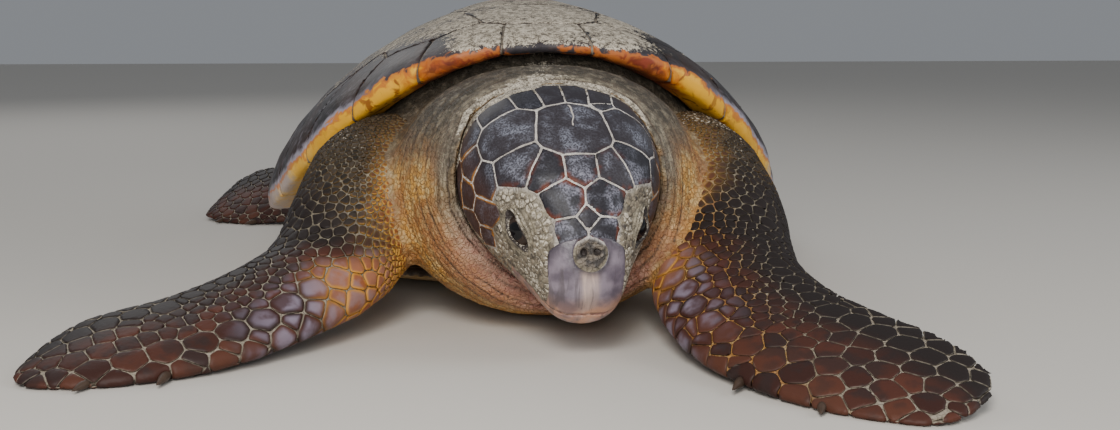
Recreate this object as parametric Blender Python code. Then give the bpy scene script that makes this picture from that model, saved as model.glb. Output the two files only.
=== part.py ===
"""A life-size loggerhead turtle, hauled out on flat ground, its head low and its front flippers reaching out.

Metres, +Z up. The turtle faces -Y and its left side is +X. The origin is on the plastron's flat underside.
Each named part of the body is one closed solid, and neighbours keep a gap of GAP.
"""

import math

import bmesh
import bpy
import numpy as np
from mathutils import Matrix, Vector

GAP = 0.0003

# Shell: the rim in plan is two half superellipses that meet at the widest place.
SHELL_HALF_WIDTH = 0.347
SHELL_MIDDLE_Y = -0.04
SHELL_FRONT_LENGTH = 0.42
SHELL_REAR_LENGTH = 0.50
FRONT_CURVE = 2.35
REAR_CURVE = 1.8
APEX_HEIGHT = 0.360
RIM_HEIGHT_FRONT = 0.300
RIM_HEIGHT_SIDE = 0.088
RIM_HEIGHT_REAR = 0.074
DOME_CURVE = 1.6
SHELL_WALL = 0.016
RIM_THICKNESS = 0.018
NUCHAL_THICKNESS = 0.009
UNDERSIDE_WIDTH = 0.045
NUCHAL_DIP = 0.012
NUCHAL_HALF_WIDTH = 0.06
MARGINALS = 25
COLUMNS = 2 * MARGINALS
SCALLOP_FRONT = 0.003
SCALLOP_REAR = 0.009

# Plastron: flat underneath, with a bridge up to the rim on each side.
PLASTRON_THICKNESS = 0.014
PLASTRON_FRONT_SHARE = 0.80
PLASTRON_REAR_SHARE = 0.74
BRIDGE_SHARE = 0.865
PLASTRON_EDGE_HEIGHT = 0.016
FLAT_SHARE = 0.62

TRUNK_BULGE = 0.026

# Head: a frame at the widest part of the skull, pitched down and turned a little to the left.
HEAD_CENTRE = Vector((0.0, -0.575, 0.165))
HEAD_PITCH = math.radians(33)
HEAD_YAW = math.radians(5.5)
SKULL_CENTRE_U = 0.09
EYE_RADIUS = 0.019
EYE_PLACE = (0.181, 0.051, 0.012)
CHEEK_SIDES = 24
NECK_SIDES = 28

FRONT_CLAW_LENGTH = 0.022
FRONT_CLAW_RADIUS = 0.0055
REAR_CLAW_LENGTH = 0.017
REAR_CLAW_RADIUS = 0.0045

FLOOR = 0.0
ACROSS = Vector((1, 0, 0))
UPWARD = Vector((0, 0, 1))


def remove_everything():
    for old in list(bpy.data.objects):
        bpy.data.objects.remove(old)


def material(name, colour, roughness, metallic=0.0):
    made = bpy.data.materials.new(name)
    made.use_nodes = True
    shader = made.node_tree.nodes["Principled BSDF"]
    shader.inputs["Base Color"].default_value = (*colour, 1.0)
    shader.inputs["Roughness"].default_value = roughness
    shader.inputs["Metallic"].default_value = metallic
    return made


def smoothstep(low, high, value):
    share = min(1.0, max(0.0, (value - low) / (high - low)))
    return share * share * (3 - 2 * share)


def smooth_rows(rows, count):
    """count rows of numbers read from a Catmull-Rom curve through the given rows."""
    rows = np.array(rows, float)
    padded = np.vstack([2 * rows[0] - rows[1], rows, 2 * rows[-1] - rows[-2]])
    found = []
    for place in np.linspace(0, len(rows) - 1, count):
        i = min(int(place), len(rows) - 2)
        t = place - i
        a, b, c, d = padded[i : i + 4]
        cubic = 2 * b + (c - a) * t + (2 * a - 5 * b + 4 * c - d) * t**2 + (3 * b - a - 3 * c + d) * t**3
        found.append(0.5 * cubic)
    return np.array(found)


def object_from(name, bm, finish):
    """The bmesh as a smooth-shaded object with that material."""
    bmesh.ops.recalc_face_normals(bm, faces=bm.faces)
    mesh = bpy.data.meshes.new(name)
    bm.to_mesh(mesh)
    bm.free()
    mesh.shade_smooth()
    mesh.materials.append(finish)
    made = bpy.data.objects.new(name, mesh)
    bpy.context.scene.collection.objects.link(made)
    return made


def skinned(name, rings, finish):
    """A closed solid through rings of equally many points. An end ring is one point, or it is capped."""
    bm = bmesh.new()
    loops = [[bm.verts.new(point) for point in ring] for ring in rings]
    for near, far in zip(loops, loops[1:]):
        count = max(len(near), len(far))
        for i in range(count):
            j = (i + 1) % count
            if len(near) == 1:
                bm.faces.new((near[0], far[i], far[j]))
            elif len(far) == 1:
                bm.faces.new((near[i], near[j], far[0]))
            else:
                bm.faces.new((near[i], near[j], far[j], far[i]))
    for end in (loops[0], loops[-1]):
        if len(end) > 1:
            bm.faces.new(end)
    bmesh.ops.triangulate(bm, faces=bm.faces)
    return object_from(name, bm, finish)


def cutter(shape, margin=1.5 * GAP):
    """A hidden copy of a solid, grown evenly by margin, that cuts room for the solid in its neighbours."""
    bm = bmesh.new()
    bm.from_mesh(shape.data)
    bm.normal_update()
    moves = [(vert, vert.normal * margin * min(vert.calc_shell_factor(), 4.0)) for vert in bm.verts]
    for vert, move in moves:
        vert.co += move
    mesh = bpy.data.meshes.new(shape.name + "_room")
    bm.to_mesh(mesh)
    bm.free()
    made = bpy.data.objects.new(shape.name + "_room", mesh)
    bpy.context.scene.collection.objects.link(made)
    made.hide_render = True
    made.display_type = "WIRE"
    return made


def cut(shape, *tools, operation="DIFFERENCE"):
    for tool in tools:
        boolean = shape.modifiers.new(tool.name, "BOOLEAN")
        boolean.operation = operation
        boolean.object = tool
        boolean.solver = "EXACT"


def box(name, matrix, low, high):
    """A hidden box cutter between two corners of the frame that matrix gives."""
    bm = bmesh.new()
    bmesh.ops.create_cube(bm, size=1.0)
    low, high = Vector(low), Vector(high)
    size = high - low
    fit = Matrix.Translation((low + high) / 2) @ Matrix.Diagonal((*size, 1.0))
    bmesh.ops.transform(bm, matrix=matrix @ fit, verts=bm.verts)
    made = object_from(name, bm, horn)
    made.hide_render = True
    made.display_type = "WIRE"
    return made


# ---------------------------------------------------------------- shell


def power(value, exponent):
    return math.copysign(abs(value) ** exponent, value)


def scallop(angle):
    """How far the rim is drawn in at an angle, deepest at the marginal plates' seams and at the rear."""
    seam = 0.5 + 0.5 * math.cos(MARGINALS * angle + math.pi)
    rear = smoothstep(-0.2, -0.9, math.cos(angle))
    return seam * (SCALLOP_FRONT + (SCALLOP_REAR - SCALLOP_FRONT) * rear)


def rim_point(angle, inset=0.0):
    """Plan place of the rim. The angle is 0 at the front and turns towards the left side."""
    front = math.cos(angle) > 0
    bend = 2 / (FRONT_CURVE if front else REAR_CURVE)
    length = SHELL_FRONT_LENGTH if front else SHELL_REAR_LENGTH
    x = (SHELL_HALF_WIDTH - inset) * power(math.sin(angle), bend)
    y = -(length - inset) * power(math.cos(angle), bend)
    if front:
        y += NUCHAL_DIP * math.exp(-((x / NUCHAL_HALF_WIDTH) ** 2))
    return Vector((x, y))


def rim_height(angle):
    c = math.cos(angle)
    end = RIM_HEIGHT_FRONT if c > 0 else RIM_HEIGHT_REAR
    return RIM_HEIGHT_SIDE + (end - RIM_HEIGHT_SIDE) * c * c


def rim_thickness(angle):
    near_nuchal = math.exp(-((math.sin(angle) / 0.22) ** 2)) if math.cos(angle) > 0 else 0.0
    return RIM_THICKNESS + (NUCHAL_THICKNESS - RIM_THICKNESS) * near_nuchal


def placed(plan, height):
    return Vector((plan.x, plan.y + SHELL_MIDDLE_Y, height))


def dome_point(angle, share, inset=0.0, drop=0.0, apex_drop=0.0):
    """A place on the dome, share of the way from the apex to a rim that is inset and dropped."""
    rise = (1 - share**DOME_CURVE) ** (1 / DOME_CURVE)
    edge = rim_height(angle) - drop
    plan = rim_point(angle, inset)
    plan = plan * (share * (1 - scallop(angle) * share**8 / plan.length))
    return placed(plan, edge + (APEX_HEIGHT - apex_drop - edge) * rise)


def angles():
    return [2 * math.pi * i / COLUMNS for i in range(COLUMNS)]


def make_carapace():
    outside = [[dome_point(0, 0)]]
    for share in (0.22, 0.42, 0.60, 0.75, 0.87, 0.95, 0.99, 1.0):
        outside.append([dome_point(a, share) for a in angles()])
    lip = []
    for a in angles():
        point = dome_point(a, 1.0)
        inward = Vector((point.x, point.y - SHELL_MIDDLE_Y, 0)).normalized() * 0.003
        lip.append(point - inward - Vector((0, 0, rim_thickness(a))))
    inside = [
        [dome_point(a, share, UNDERSIDE_WIDTH, rim_thickness(a) - 0.002, SHELL_WALL) for a in angles()]
        for share in (1.0, 0.95, 0.80, 0.55, 0.28)
    ]
    pole = [dome_point(0, 0, UNDERSIDE_WIDTH, RIM_THICKNESS, SHELL_WALL)]
    return skinned("carapace", [*outside, lip, *inside, pole], shell_horn)


def bridge(angle):
    """1 where the plastron joins the rim at the sides, and 0 at the openings for neck, limbs and tail."""
    degrees = math.degrees(math.acos(math.cos(angle)))
    return smoothstep(56, 72, degrees) * (1 - smoothstep(112, 128, degrees))


def plastron_point(angle, share, lift=0.0):
    """A place on the underside of the plastron, share of the way out to its edge, or lift above it."""
    joined = bridge(angle)
    free = PLASTRON_FRONT_SHARE if math.cos(angle) > 0 else PLASTRON_REAR_SHARE
    plan = rim_point(angle) * (free + (BRIDGE_SHARE - free) * joined) * share
    underside = rim_height(angle) - rim_thickness(angle) - PLASTRON_THICKNESS - 2 * GAP
    edge = PLASTRON_EDGE_HEIGHT + (underside - PLASTRON_EDGE_HEIGHT) * joined
    return placed(plan, FLOOR + edge * smoothstep(FLAT_SHARE, 1.0, share) + lift)


PLASTRON_SHARES = (FLAT_SHARE, 0.76, 0.88, 1.0)


def make_plastron():
    below = [[plastron_point(a, share) for a in angles()] for share in PLASTRON_SHARES]
    above = [[plastron_point(a, share, PLASTRON_THICKNESS) for a in angles()] for share in PLASTRON_SHARES]
    bottom = [plastron_point(0, 0)]
    top = [plastron_point(0, 0, PLASTRON_THICKNESS)]
    return skinned("plastron", [bottom, *below, *above[::-1], top], plastron_horn)


def make_trunk():
    """The flesh between the shells. It fills the dome, lies on the plastron and bulges at its wall."""
    under = PLASTRON_THICKNESS + 1.5 * GAP
    in_dome = UNDERSIDE_WIDTH + 0.006
    rings = [[dome_point(0, 0, in_dome, 0, SHELL_WALL + 0.002)]]
    for share in (0.55, 0.95, 1.0):
        ring = [dome_point(a, share, in_dome, rim_thickness(a) - 0.001, SHELL_WALL + 0.002) for a in angles()]
        rings.append(ring)
    foot = [plastron_point(a, 0.88, under) for a in angles()]
    head_of_wall = [
        dome_point(a, 1.0, in_dome, rim_thickness(a) - 0.0005 + 0.004 * (1 - bridge(a))) for a in angles()
    ]
    rings.append(head_of_wall)
    for share, bulge in ((0.12, TRUNK_BULGE), (0.40, TRUNK_BULGE), (0.72, 0.5 * TRUNK_BULGE)):
        ring = []
        for a, high, low in zip(angles(), head_of_wall, foot):
            outward = Vector((high.x, high.y - SHELL_MIDDLE_Y, 0)).normalized()
            front = 0.25 + 0.75 * smoothstep(0.0, 0.6, math.cos(a))
            ring.append(high.lerp(low, share) + outward * bulge * front * (1 - bridge(a)))
        rings.append(ring)
    rings.append(foot)
    for share in (0.76, FLAT_SHARE):
        rings.append([plastron_point(a, share, under) for a in angles()])
    rings.append([plastron_point(0, 0, under)])
    return skinned("trunk", rings, skin)


# ---------------------------------------------------------------- lofted flesh


def oval_ring(centre, across, up, half_width, top, bottom, sides, curve=2.0):
    """Points round an oval whose upper and lower halves may differ in height."""
    ring = []
    for i in range(sides):
        turn = 2 * math.pi * i / sides
        c, s = math.cos(turn), math.sin(turn)
        height = top if s > 0 else bottom
        ring.append(centre + across * half_width * power(c, 2 / curve) + up * height * power(s, 2 / curve))
    return ring


def make_neck():
    """Rows are y, z, half width and half height, from inside the shell to the lip behind the skull."""
    rows = (
        (-0.300, 0.140, 0.140, 0.095),
        (-0.390, 0.142, 0.162, 0.118),
        (-0.450, 0.143, 0.172, 0.136),
        (-0.500, 0.140, 0.166, 0.134),
        (-0.545, 0.136, 0.142, 0.122),
        (-0.580, 0.132, 0.118, 0.104),
    )
    rings = []
    for y, z, half_width, half_height in smooth_rows(rows, 9):
        centre = Vector((0.1 * HEAD_YAW * (y + 0.3), y, z))
        ring = oval_ring(centre, ACROSS, UPWARD, half_width, half_height, half_height, NECK_SIDES, 2.2)
        rings.append(ring)
    return skinned("neck", rings, skin)


def head_matrix():
    """The head's frame: X out to the left, Y forward along the skull, Z up, origin at the occiput."""
    level = math.cos(HEAD_PITCH)
    forward = Vector((math.sin(HEAD_YAW) * level, -math.cos(HEAD_YAW) * level, -math.sin(HEAD_PITCH)))
    left = Vector((math.cos(HEAD_YAW), math.sin(HEAD_YAW), 0))
    up = forward.cross(left)
    if up.z < 0:
        up = -up
    origin = HEAD_CENTRE - forward * SKULL_CENTRE_U
    made = Matrix((left, forward, up)).transposed().to_4x4()
    made.translation = origin
    return made


def whole_head(name, finish):
    """Rows are u along the skull, half width, top, bottom and squareness, from occiput to beak."""
    rows = (
        (0.000, 0.066, 0.050, 0.056, 2.2),
        (0.022, 0.091, 0.073, 0.076, 2.3),
        (0.060, 0.102, 0.083, 0.084, 2.35),
        (0.100, 0.1025, 0.085, 0.086, 2.35),
        (0.140, 0.092, 0.080, 0.084, 2.3),
        (0.175, 0.073, 0.069, 0.079, 2.25),
        (0.205, 0.056, 0.053, 0.072, 2.2),
        (0.230, 0.044, 0.031, 0.064, 2.2),
        (0.247, 0.034, 0.010, 0.055, 2.2),
        (0.256, 0.020, -0.008, 0.045, 2.2),
    )
    to_world = head_matrix()
    rings = []
    for u, half_width, top, bottom, curve in smooth_rows(rows, 18):
        middle = (top - bottom) / 2
        half = (top + bottom) / 2
        local = oval_ring(Vector((0, u, middle)), ACROSS, UPWARD, half_width, half, half, CHEEK_SIDES, curve)
        rings.append([to_world @ shaped(point) for point in local])
    return skinned(name, rings, finish)


def shaped(point):
    """Adds the brow, the hollow of the socket and the swell of the jaw muscle to a place on the skull."""
    side = math.copysign(1, point.x)
    spot = Vector((abs(point.x), point.y, point.z))
    bumps = (
        (Vector((0.050, 0.162, 0.052)), 0.022, 0.0045),
        (Vector((0.064, 0.184, 0.010)), 0.020, -0.0050),
        (Vector((0.094, 0.085, -0.020)), 0.045, 0.0040),
        (Vector((0.040, 0.215, 0.012)), 0.020, 0.0020),
    )
    push = sum(height * math.exp(-(((spot - centre).length / reach) ** 2)) for centre, reach, height in bumps)
    outward = Vector((side * spot.x, 0, spot.z)).normalized()
    return point + outward * push


def make_eye(side, name):
    u, v, w = EYE_PLACE
    middle = head_matrix() @ Vector((side * v, u, w))
    bm = bmesh.new()
    bmesh.ops.create_uvsphere(bm, u_segments=12, v_segments=8, radius=EYE_RADIUS)
    bmesh.ops.translate(bm, vec=middle, verts=bm.verts)
    return object_from(name, bm, eye_wet)


MOUTH_LINE = -0.034
MOUTH_SLOPE = math.radians(-3)
JAW_CORNER_U = 0.105
BEAK_START_U = 0.206
BEAK_DEPTH = 0.046


def head_parts():
    """The skull, the horny beak and the lower jaw, parted from one whole head by thin cuts."""
    frame = head_matrix() @ Matrix.Translation((0, 0.256, MOUTH_LINE)) @ Matrix.Rotation(MOUTH_SLOPE, 4, "X")
    wide = 0.3
    jaw_start = JAW_CORNER_U - 0.256
    jaw_box = box("jaw_part", frame, (-wide, jaw_start, -wide), (wide, wide, 0))
    jaw_room = box("jaw_room", frame, (-wide, jaw_start - GAP, -wide), (wide, wide, GAP))
    beak_start = BEAK_START_U - 0.256
    slant = frame @ Matrix.Translation((0, beak_start, 0)) @ Matrix.Rotation(math.radians(20), 4, "X")
    beak_box = box("beak_part", slant, (-wide, 0, -wide), (wide, wide, BEAK_DEPTH))
    beak_room = box("beak_room", slant, (-wide, -GAP, -wide), (wide, wide, BEAK_DEPTH + GAP))
    skull = whole_head("head", skin)
    beak = whole_head("upper_beak", horn)
    jaw = whole_head("lower_jaw", skin)
    cut(skull, jaw_room, beak_room)
    cut(beak, jaw_room)
    cut(beak, beak_box, operation="INTERSECT")
    cut(jaw, jaw_box, operation="INTERSECT")
    return skull, beak, jaw


def limb_rings(rows, count, sides, edge_side, thin_edge):
    """Rings along a limb. Rows are x, y, z, half width, half thickness and tilt in degrees.

    A tilt lifts the trailing edge. edge_side is 1 on the left side of the body and -1 on the right.
    thin_edge is how much thinner the trailing edge is than the leading one, for each row.
    """
    path = smooth_rows(rows, count)
    thin = np.interp(np.linspace(0, 1, count), np.linspace(0, 1, len(thin_edge)), thin_edge)
    rings = []
    for i, (x, y, z, half_width, half_thick, tilt) in enumerate(path):
        ahead, behind = path[min(i + 1, count - 1)][:3], path[max(i - 1, 0)][:3]
        along = Vector(ahead - behind).normalized()
        leading = along.cross(UPWARD).normalized() * edge_side
        up = (UPWARD - along * UPWARD.dot(along)).normalized()
        turn = Matrix.Rotation(math.radians(tilt) * edge_side, 3, along)
        leading, up = turn @ leading, turn @ up
        ring = []
        for point in oval_ring(Vector(), ACROSS, UPWARD, 1, 1, 1, sides):
            across = point.x
            slim = 1 - thin[i] * (0.5 - 0.5 * across)
            spot = Vector((x, y, z)) + leading * half_width * across + up * half_thick * point.z * slim
            spot.z = max(spot.z, FLOOR)
            ring.append(spot)
        rings.append(ring)
    return rings


def parted(rings, at):
    """The rings before and after a cut, with the gap between the two faces."""
    first, second = rings[: at + 1], rings[at:]
    middle = sum(rings[at], Vector()) / len(rings[at])
    after = sum(rings[at + 1], Vector()) / len(rings[at + 1])
    step = (after - middle).normalized() * GAP
    return first, [[point + step for point in second[0]], *second[1:]]


def make_claw(name, rings, at, length, radius):
    """A level cone of horn on a limb's leading edge, rooted at one of its rings and leaning to the tip."""
    level = Vector((1, 1, 0))
    edge, back = rings[at][0], rings[at][len(rings[at]) // 2]
    along = ((rings[at + 1][0] - rings[at - 1][0]) * level).normalized()
    out = (((edge - back) * level).normalized() + 0.4 * along).normalized()
    side = out.cross(UPWARD)
    root = edge - out * 0.45 * length
    root.z = max(root.z, radius + 0.001)
    claw = []
    for share, slim, lean in ((0.0, 0.8, 0.0), (0.45, 1.0, 0.0), (0.8, 0.62, 0.06)):
        centre = root + out * length * share + along * length * lean
        claw.append(oval_ring(centre, side, UPWARD, radius * slim, radius * slim, radius * slim, 6))
    claw.append([root + out * length * 1.25 + along * length * 0.3])
    return skinned(name, claw, horn)


def add_claws(flipper, rings, places, length, radius):
    """The claws of one flipper, each in a socket cut into its edge. The second is smaller than the first."""
    for i, at in enumerate(places):
        name = f"{flipper.name}_claw_{i + 1}"
        claw = make_claw(name, rings, at, length * (1 - 0.25 * i), radius * (1 - 0.15 * i))
        cut(flipper, cutter(claw))


def front_limb(side, rows):
    """The upper arm and the flipper of one side: "left" is +X."""
    edge_side = 1 if side == "left" else -1
    rings = limb_rings(rows, 20, 18, edge_side, (0.0, 0.0, 0.15, 0.45, 0.6, 0.6))
    upper, blade = parted(rings, 7)
    arm = skinned("upper_arm_" + side, upper, skin)
    flipper = skinned("front_flipper_" + side, blade, skin)
    add_claws(flipper, rings, (12, 14), FRONT_CLAW_LENGTH, FRONT_CLAW_RADIUS)
    return arm, flipper


RIGHT_ARM = (
    (-0.115, -0.290, 0.140, 0.070, 0.070, 0),
    (-0.180, -0.375, 0.135, 0.082, 0.088, 0),
    (-0.212, -0.450, 0.105, 0.076, 0.080, 5),
    (-0.242, -0.522, 0.064, 0.070, 0.048, 12),
    (-0.292, -0.592, 0.046, 0.068, 0.032, 16),
    (-0.358, -0.650, 0.031, 0.071, 0.022, 17),
    (-0.425, -0.682, 0.024, 0.070, 0.016, 17),
    (-0.474, -0.692, 0.019, 0.064, 0.011, 15),
    (-0.504, -0.690, 0.013, 0.049, 0.007, 13),
    (-0.515, -0.688, 0.009, 0.024, 0.004, 10),
)
LEFT_ARM = (
    (0.115, -0.290, 0.140, 0.070, 0.070, 0),
    (0.172, -0.375, 0.135, 0.080, 0.088, 0),
    (0.189, -0.465, 0.105, 0.078, 0.078, 5),
    (0.178, -0.545, 0.074, 0.078, 0.055, 12),
    (0.166, -0.636, 0.056, 0.078, 0.038, 16),
    (0.179, -0.728, 0.040, 0.081, 0.027, 18),
    (0.215, -0.808, 0.031, 0.082, 0.019, 18),
    (0.262, -0.872, 0.023, 0.077, 0.013, 17),
    (0.296, -0.914, 0.014, 0.056, 0.008, 14),
    (0.308, -0.928, 0.010, 0.025, 0.005, 10),
)


def rear_limb(side):
    """A rear flipper, paddle-shaped, spread out behind. Rows are as for the front limbs."""
    sign = 1 if side == "left" else -1
    rows = (
        (0.120, 0.235, 0.068, 0.055, 0.045, 0),
        (0.195, 0.265, 0.042, 0.058, 0.036, 5),
        (0.258, 0.295, 0.040, 0.058, 0.026, 18),
        (0.328, 0.312, 0.042, 0.074, 0.018, 28),
        (0.398, 0.330, 0.041, 0.084, 0.013, 29),
        (0.452, 0.346, 0.029, 0.068, 0.009, 25),
        (0.484, 0.356, 0.012, 0.030, 0.005, 15),
    )
    mirrored = [(sign * x, *rest) for x, *rest in rows]
    rings = limb_rings(mirrored, 12, 14, sign, (0.0, 0.0, 0.3, 0.5, 0.5))
    flipper = skinned("rear_flipper_" + side, rings, skin)
    add_claws(flipper, rings, (7, 9), REAR_CLAW_LENGTH, REAR_CLAW_RADIUS)
    return flipper


def make_tail():
    rows = (
        (0.0, 0.330, 0.052, 0.046, 0.032, 0),
        (0.0, 0.400, 0.036, 0.034, 0.024, 0),
        (0.0, 0.450, 0.025, 0.022, 0.017, 0),
        (0.0, 0.490, 0.014, 0.010, 0.009, 0),
    )
    return skinned("tail", limb_rings(rows, 6, 12, 1, (0.0, 0.0)), skin)


remove_everything()
shell_horn = material("shell_horn", (0.060, 0.045, 0.035), 0.45)
plastron_horn = material("plastron_horn", (0.62, 0.50, 0.27), 0.45)
skin = material("skin", (0.24, 0.15, 0.09), 0.55)
horn = material("horn", (0.42, 0.36, 0.36), 0.35)
eye_wet = material("eye_wet", (0.012, 0.010, 0.010), 0.08)

carapace = make_carapace()
plastron = make_plastron()
trunk = make_trunk()
neck = make_neck()
skull, beak, jaw = head_parts()
eyes = [make_eye(1, "eye_left"), make_eye(-1, "eye_right")]
arm_left, flipper_left = front_limb("left", LEFT_ARM)
arm_right, flipper_right = front_limb("right", RIGHT_ARM)
rear_left, rear_right = rear_limb("left"), rear_limb("right")
tail = make_tail()

carapace_room, plastron_room, trunk_room, neck_room = (cutter(s) for s in (carapace, plastron, trunk, neck))
head_room = cutter(whole_head("whole_head", skin))
bpy.data.objects.remove(bpy.data.objects["whole_head"])
for around in (skull, beak):
    cut(around, *(cutter(eye) for eye in eyes))
cut(neck, trunk_room, carapace_room, plastron_room, head_room)
for arm in (arm_left, arm_right):
    cut(arm, trunk_room, carapace_room, plastron_room, neck_room)
cut(flipper_left, neck_room, head_room)
for hind in (rear_left, rear_right, tail):
    cut(hind, trunk_room, carapace_room, plastron_room)
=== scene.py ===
"""The looks of a life-size loggerhead turtle, hauled out on a plain floor.

It has a scaly hide, a shell of horny scutes over bone, a plated head with a beak and wet eyes, and claws.
"""

import itertools
import math

import bmesh
import bpy
import numpy as np
from mathutils import Matrix, Vector, noise
from mathutils.bvhtree import BVHTree
from mathutils.kdtree import KDTree


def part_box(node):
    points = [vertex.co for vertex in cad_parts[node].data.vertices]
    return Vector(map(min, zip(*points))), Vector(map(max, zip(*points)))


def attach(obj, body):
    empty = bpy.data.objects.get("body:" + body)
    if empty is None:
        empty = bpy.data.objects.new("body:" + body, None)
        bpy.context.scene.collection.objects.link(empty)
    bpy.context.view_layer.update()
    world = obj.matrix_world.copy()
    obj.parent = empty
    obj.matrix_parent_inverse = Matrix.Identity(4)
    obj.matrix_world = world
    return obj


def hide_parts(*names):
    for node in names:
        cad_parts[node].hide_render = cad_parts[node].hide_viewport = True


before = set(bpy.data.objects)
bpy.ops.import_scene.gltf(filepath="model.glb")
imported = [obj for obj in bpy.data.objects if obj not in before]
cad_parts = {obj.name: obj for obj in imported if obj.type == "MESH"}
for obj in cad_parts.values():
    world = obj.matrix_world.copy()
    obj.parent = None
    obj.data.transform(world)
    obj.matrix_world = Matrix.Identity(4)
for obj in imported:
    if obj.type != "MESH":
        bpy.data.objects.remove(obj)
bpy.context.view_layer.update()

# ---------------------------------------------------------------- stage
# A plain pale floor, a wide soft key lamp over the camera, three weaker fills and a pale sky.
# The camera stands a long step in front of the turtle, a little to its right, at knee height.

HEAD_MIDDLE = Vector((0.0, -0.575, 0.165))
CAMERA_DISTANCE = 1.42
CAMERA_HEIGHT = 0.326
CAMERA_TURN = math.radians(-6.5)
CAMERA_DIP = math.radians(8.0)
CAMERA_LENS = 44.357

camera_data = bpy.data.cameras.new("camera")
camera_data.lens = CAMERA_LENS
camera_data.sensor_width = 36.0
camera_data.clip_start = 0.05
camera = bpy.data.objects.new("camera", camera_data)
bpy.context.scene.collection.objects.link(camera)
backward = Vector((math.sin(CAMERA_TURN), -math.cos(CAMERA_TURN), 0.0))
camera.location = Vector((HEAD_MIDDLE.x, HEAD_MIDDLE.y, CAMERA_HEIGHT)) + backward * CAMERA_DISTANCE
sight = -backward * math.cos(CAMERA_DIP) - Vector((0, 0, math.sin(CAMERA_DIP)))
camera.rotation_euler = sight.to_track_quat("-Z", "Y").to_euler()
bpy.context.scene.camera = camera


def soft_lamp(name, place, aim, size, power, colour):
    """A square lamp of that width and power, turned to the place that it aims at."""
    data = bpy.data.lights.new(name, "AREA")
    data.size = size
    data.energy = power
    data.color = colour
    lamp = bpy.data.objects.new(name, data)
    lamp.location = place
    lamp.rotation_euler = (Vector(aim) - Vector(place)).to_track_quat("-Z", "Y").to_euler()
    bpy.context.scene.collection.objects.link(lamp)


soft_lamp("key", (-0.5, -2.4, 1.7), (0, -0.5, 0.15), 0.9, 46, (1.0, 0.97, 0.93))
soft_lamp("front", (-0.25, -2.3, 0.7), (0, -0.5, 0.2), 0.6, 15, (1.0, 0.98, 0.95))
soft_lamp("fill_left", (2.6, -1.0, 1.5), (0, -0.2, 0.15), 1.6, 26, (0.93, 0.96, 1.0))
soft_lamp("back", (-1.4, 2.6, 2.2), (0, 0.1, 0.2), 1.6, 20, (1.0, 1.0, 1.0))

sky = bpy.data.worlds.new("sky")
sky.use_nodes = True
background = sky.node_tree.nodes["Background"]
background.inputs["Color"].default_value = (0.80, 0.84, 0.90, 1.0)
background.inputs["Strength"].default_value = 0.30
bpy.context.scene.world = sky

floor_mesh = bmesh.new()
bmesh.ops.create_grid(floor_mesh, x_segments=2, y_segments=2, size=9.0)
floor_data = bpy.data.meshes.new("floor")
floor_mesh.to_mesh(floor_data)
floor_mesh.free()
floor = bpy.data.objects.new("floor", floor_data)
bpy.context.scene.collection.objects.link(floor)
floor_finish = bpy.data.materials.new("pale_floor")
floor_finish.use_nodes = True
floor_shader = floor_finish.node_tree.nodes["Principled BSDF"]
floor_shader.inputs["Base Color"].default_value = (0.60, 0.57, 0.52, 1.0)
floor_shader.inputs["Roughness"].default_value = 0.8
floor_data.materials.append(floor_finish)

# ---------------------------------------------------------------- skin
# One hide covers all the flesh: thick and scaly on the limbs, wrinkled and folding round the neck.
# It is grown over the fleshy nodes as one skin, a plate's depth inside them, with the folds pressed in.
# The head's hide is a finer layer of the same piece, which ends in the crease behind the skull.

HEAD_PITCH = math.radians(33)
EYE_ALONG, EYE_UP = 0.181, 0.012
PLATE_DEPTH = 0.0012
BODY_FLESH = (
    "trunk", "neck", "upper_arm_left", "upper_arm_right", "front_flipper_left", "front_flipper_right",
    "rear_flipper_left", "rear_flipper_right", "tail",
)
HEAD_FLESH = ("head", "lower_jaw", "upper_beak")
SIDES = ("left", "right")


def node_middle(name):
    low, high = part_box(name)
    return (low + high) / 2


eye_middles = {side: node_middle("eye_" + side) for side in SIDES}
eye_radius = (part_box("eye_left")[1].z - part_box("eye_left")[0].z) / 2
head_left = (eye_middles["left"] - eye_middles["right"]).normalized()
upright = Vector((0, 0, 1))
head_ahead = upright.cross(head_left) * -math.cos(HEAD_PITCH) - upright * math.sin(HEAD_PITCH)
head_ahead.normalize()
head_up = head_left.cross(head_ahead)
head_up *= math.copysign(1.0, head_up.z)
eyes_between = (eye_middles["left"] + eye_middles["right"]) / 2
head_root = eyes_between - head_ahead * EYE_ALONG - head_up * EYE_UP
head_frame = Matrix((head_left, head_ahead, head_up)).transposed().to_4x4()
head_frame.translation = head_root
into_head = head_frame.inverted()


def linked(name, bm):
    """The bmesh as a smooth-shaded object of that name."""
    data = bpy.data.meshes.new(name)
    bm.to_mesh(data)
    bm.free()
    data.shade_smooth()
    made = bpy.data.objects.new(name, data)
    bpy.context.scene.collection.objects.link(made)
    return made


def as_modified(obj):
    """The object with its modifiers made real."""
    data = bpy.data.meshes.new_from_object(obj.evaluated_get(bpy.context.evaluated_depsgraph_get()))
    obj.modifiers.clear()
    old, obj.data = obj.data, data
    bpy.data.meshes.remove(old)
    return obj


def merged_nodes(names, swell):
    """The nodes' meshes, each closed, grown by swell and put in one bmesh."""
    both = bmesh.new()
    for name in names:
        part = bmesh.new()
        part.from_mesh(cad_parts[name].data)
        bmesh.ops.remove_doubles(part, verts=part.verts, dist=0.00002)
        bmesh.ops.recalc_face_normals(part, faces=part.faces)
        part.normal_update()
        for vert in part.verts:
            vert.co += vert.normal * swell
        grown = bpy.data.meshes.new(name + "_grown")
        part.to_mesh(grown)
        part.free()
        both.from_mesh(grown)
        bpy.data.meshes.remove(grown)
    return both


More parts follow.
